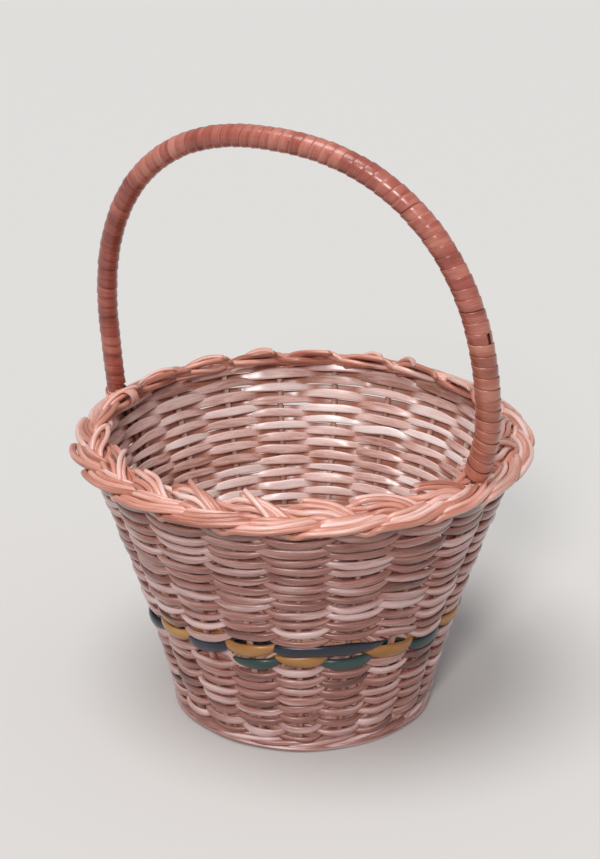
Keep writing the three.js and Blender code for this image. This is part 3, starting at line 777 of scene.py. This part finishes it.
# %% [markdown]
# ## The base
#
# The base starts from a cross: three sticks are pushed through slits in three thicker ones, and
# their ends fan out to twelve spokes. Two weavers then go round and round in a pair, one over a
# spoke while the other goes under it, and they pass each other between spokes. Seen along the row
# that is a two-ply twist: one weaver's height is cos and its distance sin of the same angle.

# %% Base weave
SPOKES = 12
BASE_INSIDE = 0.0135
BASE_EDGE = stake_radius(0) - WALL_THICKNESS / 2 - 0.0012
BASE_PITCH = 0.0047
PAIR_ROD = 0.0030
# How far the two weavers twist round each other, across the base and up
TWIST_ACROSS, TWIST_UP = 0.0011, 0.0029
STEPS_PER_SPOKE = 9
# The last half turn lies along the edge and closes the spiral's step
CLOSING_TURNS = 0.55


def base_pairs(name, nodes, seed):
    """Two weavers on one spiral: radius grows with the angle, and a twist of half a turn a spoke
    carries one over and the other under."""
    turns = (BASE_EDGE - BASE_INSIDE) / BASE_PITCH + CLOSING_TURNS
    count = int(turns * SPOKES * STEPS_PER_SPOKE)
    angle = np.linspace(0, turns * 2 * np.pi, count)[None, :]
    ply = np.array([0, np.pi])[:, None]
    twist = angle * SPOKES / 2 + ply
    radius = BASE_INSIDE + BASE_PITCH * angle / (2 * np.pi) + TWIST_ACROSS * np.sin(twist)
    radius = np.minimum(radius, BASE_EDGE)
    # The weave isn't quite even: one side of the base stands a little thicker
    swing = TWIST_UP + 0.0003 * np.sin(angle)
    z = BASE_MIDDLE + swing * np.cos(twist) + wander(seed, twist.shape, 60, 0.0002)
    path = at(radius, angle, z)
    facing = np.broadcast_to(UP, path.shape)
    rings = carried(path, facing, PAIR_ROD * 1.25, PAIR_ROD * 0.95, round_section(10))
    tone = np.random.default_rng(seed).uniform(0.3, 0.7, 2)
    mesh = rods_mesh(name, rings, lengths_along(path), tone, np.zeros(1))
    return piece(name, mesh, base_finish, nodes)


base_pairs("base_pairs", ["base_weave"], 51)

# %% Sticks of the base
STICKS_EACH_WAY = 3
STICK_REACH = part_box("base_stick_through_2")[1].x
STICK_STEPS = 60
STICKS = {
    # Name: diameter, distance between neighbours in the cross, half length of the straight part
    "split": (0.0074, 0.0077, 0.0078),
    "through": (0.0044, 0.0047, 0.0124),
}


def stick_path(count, apart, straight):
    """A stick along x: it lies level beside its neighbours across the cross, and further out its
    place across grows in a straight line out to its own spoke."""
    from_middle = count - (STICKS_EACH_WAY + 1) / 2
    spoke = from_middle * 2 * np.pi / SPOKES
    x = np.linspace(-1, 1, STICK_STEPS) * STICK_REACH * np.cos(spoke)
    beyond = np.clip((np.abs(x) - straight) / (STICK_REACH * np.cos(spoke) - straight), 0, 1)
    beside, end = from_middle * apart, STICK_REACH * np.sin(spoke)
    y = beside + (end - beside) * beyond
    return np.stack([x, y, np.full(STICK_STEPS, BASE_MIDDLE)], axis=-1)


for kind, (diameter, apart, straight) in STICKS.items():
    for count in range(1, STICKS_EACH_WAY + 1):
        path = stick_path(count, apart, straight)
        if kind == "split":
            path = path[:, [1, 0, 2]] * np.array([-1, 1, 1])
        facing = np.broadcast_to(UP, path.shape)
        rings = carried(path, facing, diameter, diameter, round_section(16))[None]
        tone = np.random.default_rng(count + len(kind)).uniform(0.3, 0.9, 1)
        name = f"base_rod_{kind}_{count}"
        mesh = rods_mesh(name, rings, lengths_along(path)[None], tone, np.zeros(1))
        piece(name, mesh, base_finish, [f"base_stick_{kind}_{count}"])

# %% [markdown]
# ## The plaited border
#
# The stakes' ends are laid down into a plait of three strands, each a flat band of four rods side
# by side. A strand swings from the outer edge to the inner one as sin(w), and rises as -sin(2w),
# squared off, so it passes over one strand and then under the next. The way out is steep and the
# way in is long and slanting, which a skew between w and the angle round the rim gives. A rod's cut
# tip lies at the inner edge. It runs in the plait for less than two turns and bends down into the
# wall. Two rods start at each turn, a stake and the one laid in beside it. They begin in the two
# inner lanes of their strand, and later move out to the two outer ones, over the rods that follow.

# %% A strand's middle line
STRAND_COUNT = 3
PLAIT_TURNS = STAKE_COUNT // STRAND_COUNT
PLAIT_WIDTH = 0.0342
PLAIT_TILT = np.radians(28)
PLAIT_RISE = 0.0034
PLAIT_SWING = 0.0088
PLAIT_SKEW = 0.35
# How flat the swing is at the edges, and how hard the rise is squared off
SWING_FLATNESS, RISE_PUSH = 0.4, 1.8
# How far the leading lane of a strand is ahead in its rise, and the edge lane early, in radians
LANE_LEAD, EARLY_RISE = 0.44, 0.7
# From the strand's middle to its outer lane, and how much of the swing that lane stays out
LANE_SPREAD, EDGE_HOLD = 0.0058, 0.2
PLAIT_RADIUS = stake_radius(WALL_HEIGHT)
STRANDS = [f"border_strand_{strand + 1}" for strand in range(STRAND_COUNT)]
strand_boxes = [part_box(name) for name in STRANDS]
border_low = min(low.z for low, high in strand_boxes)
border_high = max(high.z for low, high in strand_boxes)
PLAIT_HEIGHT = (border_low + border_high) / 2
print(f"border middle {PLAIT_HEIGHT * 1000:.1f} mm up, {PLAIT_RADIUS * 2000:.0f} mm across")


def plait_point(out, up, angle):
    """A place in the tilted plane of the plait, as a point: out across the rim, up from it."""
    radius = PLAIT_RADIUS + out * np.cos(PLAIT_TILT) + up * np.sin(PLAIT_TILT)
    return at(radius, angle, PLAIT_HEIGHT + up * np.cos(PLAIT_TILT) - out * np.sin(PLAIT_TILT))


def strand_place(t, lane):
    """How far out and up a rod is at plait angle t, in a lane from -1 at the strand's inner side to
    1 at its outer side. The swing is flat at the edges. The outer lanes keep to the outer edge, so
    a strand fans out on its way there. The lane ahead, on the side it moves to, dives first, and
    the lane at the edge comes up first."""
    w = t + PLAIT_SKEW * np.sin(t)
    swing = (1 + SWING_FLATNESS) * np.sin(w) - SWING_FLATNESS * np.sin(w) ** 3
    kept = EDGE_HOLD * np.clip(lane, 0, 1) * (1 - swing)
    out = PLAIT_SWING * (swing + kept) + lane * LANE_SPREAD
    early = EARLY_RISE * np.sin(w) ** 2 * (1 + lane * np.sin(w)) / 2
    wave = -np.sin(2 * (w + LANE_LEAD * lane * np.cos(w) + early))
    return out, PLAIT_RISE * np.tanh(RISE_PUSH * wave)


# %% Rods of the border
BORDER_ROD = 0.0050
RODS_PER_TURN = 2
BORDER_STEPS_PER_TURN = 44
# A rod starts with a cut tip at the inner edge, and ends in its second turn, where the next strand
# covers it, down in its stake
TIP_TURN = 0.785
STAKE_TURN = 0.76
ROD_LIFE = 2 + STAKE_TURN - TIP_TURN
# The stakes stand at this part of a turn in the solid strands
SOLID_STAKE_TURN = 185.4 / 360
PLAIT_SHIFT = STAKE_TURN - SOLID_STAKE_TURN
# The ages, in turns, between which a rod moves out two lanes, and the length of its bend down
MOVING_OUT = (0.82, 1.03)
BEND_TURNS = 0.11
PAIR_APART = 0.004
PLAIT_FACING = np.array([np.sin(PLAIT_TILT), np.cos(PLAIT_TILT)])
CUT_SLANT = 0.7
# From and to, for what differs from rod to rod: its tip's place in turns, how far the tip sticks out
# inwards and up, and the share of the usual width
TIP_PLACES, TIP_INWARDS, TIP_UPWARDS = (-0.09, 0.03), (-0.001, 0.003), (-0.0005, 0.0015)
ROD_SHARES = (0.86, 1.1)
# How far the second rod of a pair starts behind the first, and the ages at which a tip lies down
PAIR_LAG, TIP_AGES = 0.05, (-0.1, 0.13)
# A rod is thin at its tip and grows towards its stake, by these shares
THIN_SHARE, GROWTH = 0.84, 0.2


def plaited_mesh(name, path, angle, width, tone):
    """Rods along paths on the rim, with a slanting cut at their first end that shows pale wood."""
    facing = at(np.full(angle.shape, PLAIT_FACING[0]), angle, PLAIT_FACING[1])
    outline = round_section(ROD_POINTS)
    rings = carried(path, facing, width, width * 0.94, outline)
    along = unit(path[:, 1] - path[:, 0])[:, None, :]
    slant = (outline[:, 0] + outline[:, 1])[None, :, None] * width[:, :1, None] * CUT_SLANT / 2
    rings[:, 0] += along * slant
    pale = np.zeros(path.shape[:2] + (1,))
    pale[:, 0] = 0.9
    return rods_mesh(name, rings, lengths_along(path), tone, pale)


def rim_angle(t, strand):
    """Where a strand is round the rim at plait angle t: a third of a turn behind the one before."""
    return (t - (PLAIT_SHIFT + strand / STRAND_COUNT) * 2 * np.pi) / PLAIT_TURNS


def border_rods(strand, seed):
    """Rods of one strand. Lane against age: the two inner lanes first, and after most of a turn,
    while the strand is hidden underneath, a smooth step to the two outer lanes."""
    random = np.random.default_rng(seed)
    rods = PLAIT_TURNS * RODS_PER_TURN
    turn, member = np.divmod(np.arange(rods)[:, None], RODS_PER_TURN)
    tips = random.uniform(*TIP_PLACES, (rods, 1)) - PAIR_LAG * member
    age = np.linspace(tips[:, 0], ROD_LIFE, int(ROD_LIFE * BORDER_STEPS_PER_TURN), axis=-1)
    t = (turn + TIP_TURN + age) * 2 * np.pi
    angle = rim_angle(t, strand)
    lane = -1 + 2 / 3 * member + 4 / 3 * step_between(age, *MOVING_OUT)
    out, up = strand_place(t, lane)
    out = out + wander(seed + 1, t.shape, 12, 0.0006)
    up = up + wander(seed + 2, t.shape, 12, 0.0005)
    # A tip sticks out a little at the inner edge, and some lie on top of their neighbours
    at_tip = 1 - step_between(age, *TIP_AGES)
    out = out - random.uniform(*TIP_INWARDS, (rods, 1)) * at_tip
    up = up + random.uniform(*TIP_UPWARDS, (rods, 1)) * at_tip
    path = plait_point(out, up, angle)
    # The last stretch bends down to the top of the rod's own stake
    bend = step_between(age, ROD_LIFE - BEND_TURNS, ROD_LIFE)[..., None]
    beside = (member - 0.5) * PAIR_APART / PLAIT_RADIUS
    down = at(PLAIT_RADIUS + 0.001, angle + beside, WALL_HEIGHT + 0.003)
    path = path * (1 - bend) + down * bend
    growing = THIN_SHARE + GROWTH * np.clip(age / ROD_LIFE, 0, 1)
    width = BORDER_ROD * random.uniform(*ROD_SHARES, (rods, 1)) * growing
    tone = random.uniform(0.0, 1.0, rods)
    mesh = plaited_mesh(f"border_rods_{strand + 1}", path, angle, width, tone)
    return piece(mesh.name, mesh, border_finish, [STRANDS[strand]])


for strand in range(STRAND_COUNT):
    border_rods(strand, 60 + strand * 10)

# %% [markdown]
# ## Loose tips
#
# Rods that were too short to lie in the plait's order are pushed in slanting from its inner edge,
# over the strand that is on its way out and under the one that is on its way in. Each is a nearly
# straight line across the rim, and rises and sinks along a parabola.

# %% Loose tips
LOOSE_TIPS = 13
# The parabola of their height along their length: start, climb and fall
TIP_HEIGHT, TIP_CLIMB, TIP_FALL = 0.0038, 0.0135, 0.016
# Their slants, in degrees, lengths and widths, from and to
TIP_SLANTS, TIP_LENGTHS, LOOSE_WIDTHS = (24, 56), (0.032, 0.042), (0.0035, 0.0046)
TIP_STEPS = 16


def loose_tips(name, count, nodes, seed):
    """Short rods: the angle and out grow evenly, and up is a parabola, over the strand on its way
    out and down under the next, where q goes from 0 at the cut tip to 1 under the plait."""
    random = np.random.default_rng(seed)
    passes = random.permutation(STAKE_COUNT)[:count]
    strand, turn = np.divmod(passes[:, None], PLAIT_TURNS)
    t = (turn + TIP_TURN + random.uniform(0.0, 0.1, (count, 1))) * 2 * np.pi
    first = rim_angle(t, strand)
    q = np.linspace(0, 1, TIP_STEPS)[None, :]
    slant = np.radians(random.uniform(*TIP_SLANTS, (count, 1)))
    length = random.uniform(*TIP_LENGTHS, (count, 1))
    angle = first + length * np.cos(slant) * q / PLAIT_RADIUS
    beyond = random.uniform(-0.003, 0.003, (count, 1))
    out = -PLAIT_WIDTH / 2 - beyond + (PLAIT_WIDTH * 0.56 + beyond) * q
    up = TIP_HEIGHT + TIP_CLIMB * q - TIP_FALL * q ** 2 + random.uniform(0, 0.001, (count, 1))
    path = plait_point(out, up, angle)
    width = random.uniform(*LOOSE_WIDTHS, (count, 1)) * np.ones_like(q)
    mesh = plaited_mesh(name, path, angle, width, random.uniform(0.5, 1.0, count))
    return piece(name, mesh, border_finish, nodes)


loose_tips("border_loose_tips", LOOSE_TIPS, STRANDS, 97)

# %% [markdown]
# ## The bow
#
# The bow is a thick rod. Its legs widen a little from their feet, and a superellipse, which is an
# ellipse squared off at its shoulders, spans between them. To wind cane on it evenly, its line is
# measured, so that a place can be asked for by its length from the near foot.

# %% The bow's line
BOW_BULGE = 0.0079
BOW_SWAY = 0.0064
BOW_WAIST_RISE = 0.057
BOW_RISE = 0.235
BOW_ROUNDNESS = 2.28
BOW_LEAN = 0.024
# Share of the line's points on each leg, and the core's radius at the near and far foot
LEG_SHARE = 0.14
NEAR_CORE, FAR_CORE = 0.0076, 0.0057
# Steps of the measured line, and how far to each side of a place its direction is taken
BOW_STEPS, BOW_LOOK = 1200, 0.0017
NEAR_FOOT_RADIUS = PLAIT_RADIUS - 0.0074
FAR_FOOT_RADIUS = PLAIT_RADIUS + 0.0076
BESIDE_STAKE = 0.009
FAR_FOOT_STAKE = 11
near_angle = stake_angle(0) + BESIDE_STAKE / NEAR_FOOT_RADIUS
far_angle = stake_angle(FAR_FOOT_STAKE) + BESIDE_STAKE / FAR_FOOT_RADIUS
near_foot = at(NEAR_FOOT_RADIUS, near_angle, PLAIT_HEIGHT)
far_foot = at(FAR_FOOT_RADIUS, far_angle, PLAIT_HEIGHT)
feet_middle = (near_foot + far_foot) / 2
half_span = np.linalg.norm(near_foot - far_foot) / 2
span = unit(near_foot - far_foot)
lean = unit(np.cross(span, UP))


def bow_points(share):
    """Each leg is half of a parabola out to the waist; the arch is a superellipse; the lean grows
    with the rise."""
    a = np.pi * np.clip((share - LEG_SHARE) / (1 - 2 * LEG_SHARE), 0, 1)
    power = 2 / BOW_ROUNDNESS
    squared_off = np.sign(np.cos(a)) * np.abs(np.cos(a)) ** power
    arch_across = squared_off * (half_span + BOW_BULGE) + BOW_SWAY
    arch_rise = BOW_WAIST_RISE + np.abs(np.sin(a)) ** power * (BOW_RISE - BOW_WAIST_RISE)
    sign = np.where(share < 0.5, 1.0, -1.0)
    up = np.minimum(share, 1 - share) / LEG_SHARE
    leg_across = sign * (half_span + (BOW_BULGE + sign * BOW_SWAY) * (1 - (1 - up) ** 2))
    on_leg = up < 1
    across = np.where(on_leg, leg_across, arch_across)
    rise = np.where(on_leg, BOW_WAIST_RISE * up, arch_rise)
    leaning = BOW_LEAN * rise / BOW_RISE
    return feet_middle + across[:, None] * span + leaning[:, None] * lean + rise[:, None] * UP


bow_line = bow_points(np.linspace(0, 1, BOW_STEPS + 1))
bow_lengths = lengths_along(bow_line)
bow_length = bow_lengths[-1]
bow_plane = unit(np.cross(bow_line[BOW_STEPS // 2] - far_foot, span))
print(f"bow {bow_length * 1000:.0f} mm long, feet {half_span * 2000:.0f} mm apart")


def on_bow_line(length):
    """Points at lengths from the near foot, between those of the line."""
    length = np.clip(length, 0, bow_length)
    return np.stack([np.interp(length, bow_lengths, bow_line[:, k]) for k in range(3)], axis=-1)


def bow_place(length):
    """Point, the two directions square to the bow and its core's radius at a length along it. Past
    a foot the line runs straight on."""
    within = np.clip(length, 0, bow_length)
    along = unit(on_bow_line(within + BOW_LOOK) - on_bow_line(within - BOW_LOOK))
    point = on_bow_line(within) + along * (length - within)[..., None]
    side = unit(np.cross(along, bow_plane))
    radius = NEAR_CORE + (FAR_CORE - NEAR_CORE) * length / bow_length
    return point, side, np.broadcast_to(bow_plane, point.shape), radius


# %% The bow's core and tails
FOOT_SINK = 0.012
CORE_STEPS, CORE_POINTS = 300, 20
TAIL_LENGTH = 0.075
TAIL_STEPS = 30
TAIL_ROD = 0.006


def bow_core(name, material):
    """A round rod along the bow's line, which sinks in between the rods of the border."""
    lengths = np.linspace(-FOOT_SINK, bow_length + FOOT_SINK, CORE_STEPS)
    point, side, up, radius = bow_place(lengths)
    a = np.arange(CORE_POINTS) * 2 * np.pi / CORE_POINTS
    ring = point[:, None] + radius[:, None, None] * (
        side[:, None] * np.cos(a)[:, None] + up[:, None] * np.sin(a)[:, None]
    )
    rings = ring[None, :, ::-1]
    mesh = rods_mesh(name, rings, lengths[None], np.array([0.3]), np.zeros(1))
    return piece(name, mesh, material, ["bow_core"])


def bow_tails(name, material):
    """At each foot a thinner tail: up inside the wall beside its stake, and out to the foot."""
    paths = []
    for angle, foot in ((near_angle, near_foot), (far_angle, far_foot)):
        z = np.linspace(WALL_HEIGHT - TAIL_LENGTH, WALL_HEIGHT, TAIL_STEPS)
        in_wall = at(stake_radius(z), angle, z)
        paths.append(np.concatenate([in_wall, (in_wall[-1] + foot)[None] / 2, foot[None]]))
    paths = np.stack(paths)
    facing = np.stack([at(1.0, angle + np.pi / 2, 0.0) for angle in (near_angle, far_angle)])[:, None]
    width = np.linspace(0.6, 1.0, paths.shape[1])[None] * TAIL_ROD
    rings = carried(paths, facing, width, width, round_section(ROD_POINTS))
    mesh = rods_mesh(name, rings, lengths_along(paths), np.array([0.2, 0.4]), np.zeros(1))
    return piece(name, mesh, material, ["bow_core"])


bow_finish = willow("bow_rod_willow", (66, 38, 28), (96, 60, 44), (128, 84, 62), roughness=0.6)
bow_core("bow_rod", bow_finish)
bow_tails("bow_tails", bow_finish)

# %% [markdown]
# ## Winding the bow
#
# Flat cane is wound on in four lengths. At an angle a round the bow, the strip has gone a / (2 pi)
# pitches along it, so its four edges are the bow's surface at that length and one strip's width
# further. Each turn rides a little on the edge of the turn before, which gives the handle its fine
# shingled look, and no two turns are pulled quite alike.

# %% Wound strips
# Turns at which one strip ends and the next starts, and how late it starts, which shows as a notch
STRIP_JOINS = [0, 11.5, 33.15, 55.15, 78]
STRIP_STARTS_LATE = [0, 0.06, 0.02, 0.02]
# The lowest turns of the first strip go down between the rods of the border
TURNS_IN_BORDER = 1.9
STRIP_THICKNESS = 0.0009
STRIP_ROOM = 0.0008
STRIP_GAP = 0.0001
STRIP_OVERLAP = 1.10
EDGE_LIFT = 0.0003
STEPS_PER_TURN = 32
wrap_start, wrap_end = 0.018, bow_length - 0.0030
turn_pitch = (wrap_end - wrap_start) / (STRIP_JOINS[-1] + 1)
strip_width = turn_pitch - STRIP_GAP


def strip_outline():
    """Across the strip from 0 to 1 and out from 0 to 1: flat below, gently crowned on top, with
    its leading edge lifted onto its neighbour."""
    across = np.array([0.0, 0.02, 0.12, 0.4, 0.7, 0.92, 1.0, 0.97, 0.5])
    out = np.array([0.1, 0.45, 0.66, 0.84, 0.98, 1.04, 0.82, 0.3, 0.0])
    return across, out


def wound(first_turn, turns, before, seed):
    """Rings of a strip from first_turn on: place at the length that the angle gives, then out."""
    steps = int((turns + before) * STEPS_PER_TURN)
    turn = np.linspace(first_turn - before, first_turn + turns, steps)
    across, out = strip_outline()
    pull = wander(seed, turn.shape, int(turns * 1.6) + 3, 0.00022)
    start = wrap_start + turn_pitch * turn + pull
    wide = strip_width * STRIP_OVERLAP + wander(seed + 1, turn.shape, int(turns) + 3, 0.00012)
    lengths = start[:, None] + wide[:, None] * across[None, :]
    point, side, up, radius = bow_place(lengths)
    loose = wander(seed + 2, turn.shape, int(turns * 2.5) + 3, 0.00009)[:, None]
    thick = out[None, :] * STRIP_THICKNESS
    reach = radius + STRIP_ROOM + thick + loose + EDGE_LIFT * across[None, :]
    a = (turn * 2 * np.pi)[:, None, None]
    rings = point + reach[..., None] * (side * np.cos(a) + up * np.sin(a))
    middle = lengths_along(rings[:, 3])
    return rings[None], middle[None]


def wrapping_cane(name, dark, middle, light):
    """Stained cane: red-brown by slow noise along the strip, darker along its edges, glossy."""
    f = Finish(name, 0.27, 0.6)
    tone = f.attribute("tone")
    fibres = f.noise(f.rod_place((22, 46, 1), tone), 1.0, 4.0, 0.7)
    slow = f.noise(f.rod_place((16, 1.5, 1), tone), 1.0, 3.0, 0.6)
    shade = f.math("ADD", slow, f.around_half(fibres, 0.5))
    # A strip's tone shifts its colour; the last strip's low tone darkens the far leg as painted shade
    shade = f.math("ADD", shade, f.around_half(tone, 0.3), clamp=True)
    color = f.ramp(shade, [(0.25, dark), (0.5, middle), (0.78, light)])
    edge = f.attribute("pale")
    color = f.mix(f.math("MULTIPLY", edge, 0.4), color, rgb(108, 50, 38))
    return f.finish(color, fibres, 0.25, 0.0003)


wrap_finish = wrapping_cane("wrapping_cane", (134, 60, 46), (182, 94, 78), (222, 146, 126))
low_wrap_finish = wrapping_cane(
    "wrapping_cane_low", (154, 82, 64), (198, 118, 96), (228, 160, 136)
)
# How dark each point of the strip's outline is, as an edge, and each strip's tone; the low tone of the
# last strip, which winds the far side of the arch and the far leg, is painted shade there
EDGE = np.array([1.0, 0.7, 0.1, 0.0, 0.0, 0.05, 0.35, 1.0, 1.0])
STRIP_TONES_AND_SHADE = [0.5, 0.55, 0.6, 0.2]

for index, strip_tone_and_shade in enumerate(STRIP_TONES_AND_SHADE):
    before, material = (TURNS_IN_BORDER, low_wrap_finish) if index == 0 else (0.0, wrap_finish)
    first_turn = STRIP_JOINS[index] + STRIP_STARTS_LATE[index]
    turns = STRIP_JOINS[index + 1] - first_turn
    rings, run = wound(first_turn, turns, before, 70 + index * 10)
    name = f"bow_strip_{index + 1}"
    mesh = rods_mesh(name, rings, run, np.array([strip_tone_and_shade]), EDGE)
    piece(name, mesh, material, [f"bow_wrap_{index + 1}"])

# %% [markdown]
# ## The far foot
#
# A pale strip binds the far foot to the border. It crosses over itself on the leg: two loops round
# it, tilted opposite ways, have their height as plus and minus the sine of the angle, and a level
# one lies above them. Then it goes across the plait and round its inner edge, which is a straight
# line and half a circle in the plane square to the rim.

# %% Foot lashing
LASHING_WIDTH = 0.0054
LASHING_THICKNESS = 0.0013
LASHING_POINTS = 64
# Of the three loops: tilt, height over the winding, shift along the leg and tone
LOOPS = [(0.0056, 0.0012, 0.0, 0.8), (-0.0056, 0.0024, 0.0, 0.6), (0.0, 0.0008, -0.0045, 0.3)]
# The angle of the loops' crossing, and their middle's length past the far foot
CROSSING_ANGLE, CROSSING_LENGTH = 1.2, 0.0012


def lashing(name, nodes):
    """Two tilted rings round the far leg, at one length plus and minus a sine of the angle, and a
    level one above them."""
    a = np.linspace(0, 2 * np.pi, LASHING_POINTS, endpoint=False)
    tilts, raised, shift, tones = np.array(LOOPS).T[:, :, None]
    middle = bow_length + CROSSING_LENGTH
    lengths = middle + shift + tilts * np.sin(a[None, :] - CROSSING_ANGLE)
    point, side, up, radius = bow_place(lengths)
    out = side * np.cos(a)[None, :, None] + up * np.sin(a)[None, :, None]
    path = point + (radius + STRIP_ROOM + raised)[..., None] * out
    rings = closed_rings(path, out, LASHING_WIDTH, LASHING_THICKNESS, SPLIT)
    mesh = rods_mesh(name, rings, lengths_along(path), tones[:, 0], np.zeros(1), closed=True)
    return piece(name, mesh, border_finish, nodes)


# The strap starts at this place across the plait and ends this far back under it
STRAP_START, STRAP_UNDER = 0.004, 0.008
# How far apart its two turns lie, how much they spread on the way down, and their slant
STRAP_APART, STRAP_SPREADING, STRAP_SLANT = 0.0035, 0.0025, 0.011


def foot_strap(name, nodes):
    """The strip's way down: level over the plait towards its inner edge, half a circle round that
    edge, and back underneath."""
    over = PLAIT_RISE + BORDER_ROD / 2 - 0.0004
    edge = -PLAIT_WIDTH / 2 + over * 0.8
    level = np.linspace(STRAP_START, edge, 14)
    a = np.linspace(0, np.pi, 20)[1:]
    below = np.linspace(edge, edge + STRAP_UNDER, 6)[1:]
    out = np.concatenate([level, edge - over * np.sin(a), below])
    up = np.concatenate([np.full(len(level), over), over * np.cos(a), np.full(len(below), -over)])
    strips = np.array([-0.5, 0.5])[:, None]
    # Two turns side by side, which spread as they come down from the leg
    spread = strips * (STRAP_APART + STRAP_SPREADING * step_between(-out, -0.004, 0.016)[None, :])
    slanting = STRAP_SLANT * step_between(-out, -0.008, 0.020)[None, :]
    angle = far_angle + (0.005 + spread + slanting) / PLAIT_RADIUS
    path = plait_point(out[None, :], up[None, :] + (strips + 0.5) * 0.0006, angle)
    middle = plait_point(np.full(angle.shape, edge), 0.0, angle)
    facing = unit(path - middle)
    rings = carried(path, facing, LASHING_WIDTH, LASHING_THICKNESS, SPLIT)
    mesh = rods_mesh(name, rings, lengths_along(path), np.array([0.85, 0.55]), np.zeros(1))
    return piece(name, mesh, border_finish, nodes)


lashing("foot_lashing_strips", ["foot_lashing"])
foot_strap("foot_strap", ["foot_lashing"])

# %% [markdown]
# ## Camera, floor and light
#
# The camera stands where the photograph was taken from: its direction, height and distance were
# found by fitting the basket's outline. The floor is plain and pale, and the light is soft and comes
# mostly from above, as under an open sky.

# %% Camera
AZIMUTH, ELEVATION = np.radians(32.2), np.radians(22.6)
DISTANCE = 1.7
TARGET = np.array([-0.0021, -0.0013, 0.2200])
SENSOR, FRAME_HEIGHT, FOCAL_PIXELS = 36.0, 859, 2261

back = np.array([
    np.sin(AZIMUTH) * np.cos(ELEVATION),
    -np.cos(AZIMUTH) * np.cos(ELEVATION),
    np.sin(ELEVATION),
])
camera_data = bpy.data.cameras.new("camera")
camera_data.sensor_width = SENSOR
camera_data.lens = SENSOR * FOCAL_PIXELS / FRAME_HEIGHT
camera_data.clip_end = 40
camera = bpy.data.objects.new("camera", camera_data)
camera.location = TARGET + back * DISTANCE
camera.rotation_mode = "QUATERNION"
camera.rotation_quaternion = Vector(-back).to_track_quat("-Z", "Y")
bpy.context.scene.collection.objects.link(camera)
bpy.context.scene.camera = camera
print(f"camera {DISTANCE} m away, lens {camera_data.lens:.0f} mm")

# %% Floor
FLOOR_REACH = 9.0
FLOOR_SEEN, FLOOR_GIVEN_BACK = rgb(226, 223, 219), rgb(128, 122, 116)
floor_corners = [(x * FLOOR_REACH, y * FLOOR_REACH, 0) for x, y in ((-1, -1), (1, -1), (1, 1), (-1, 1))]
floor_mesh = bpy.data.meshes.new("floor")
floor_mesh.from_pydata(floor_corners, [], [(0, 1, 2, 3)])
floor = bpy.data.objects.new("floor", floor_mesh)
bpy.context.scene.collection.objects.link(floor)
floor_finish = Finish("floor_pale", 0.9)
rays = floor_finish.node("ShaderNodeLightPath").outputs
seen = floor_finish.math("MAXIMUM", rays["Is Camera Ray"], rays["Is Glossy Ray"])
seen = floor_finish.math("MAXIMUM", seen, rays["Is Transmission Ray"])
# Seen straight on the floor is pale, and it throws back no more light than ground would
floor_finish.finish(floor_finish.mix(seen, FLOOR_GIVEN_BACK, FLOOR_SEEN))
floor_mesh.materials.append(floor_finish.material)
print(f"floor {2 * FLOOR_REACH:.0f} m wide")

# %% Light
WORLD_STRENGTH = 0.42


def soft_sun(name, strength, angle, away):
    """A lamp without a place, as wide in the sky as its angle, which shines from the direction
    away and lights floor and basket evenly."""
    data = bpy.data.lights.new(name, "SUN")
    data.energy, data.angle = strength, np.radians(angle)
    lamp = bpy.data.objects.new(name, data)
    lamp.rotation_mode = "QUATERNION"
    lamp.rotation_quaternion = Vector(tuple(-away)).to_track_quat("-Z", "Y")
    lamp.location = tuple(away)
    bpy.context.scene.collection.objects.link(lamp)


right = np.array([np.cos(AZIMUTH), np.sin(AZIMUTH), 0.0])
front = np.array([np.sin(AZIMUTH), -np.cos(AZIMUTH), 0.0])
soft_sun("high_light", 1.45, 34.0, UP + front * 0.20 - right * 0.20)
soft_sun("front_light", 1.15, 11.0, UP * 0.62 + front * 0.95 - right * 0.18)
world = bpy.data.worlds.new("studio")
world.use_nodes = True
world.node_tree.nodes["Background"].inputs["Color"].default_value = rgb(236, 238, 242)
world.node_tree.nodes["Background"].inputs["Strength"].default_value = WORLD_STRENGTH
bpy.context.scene.world = world
bpy.context.scene.view_settings.view_transform = "Standard"
print("lamps:", [lamp.name for lamp in bpy.data.lights], "and a pale world")
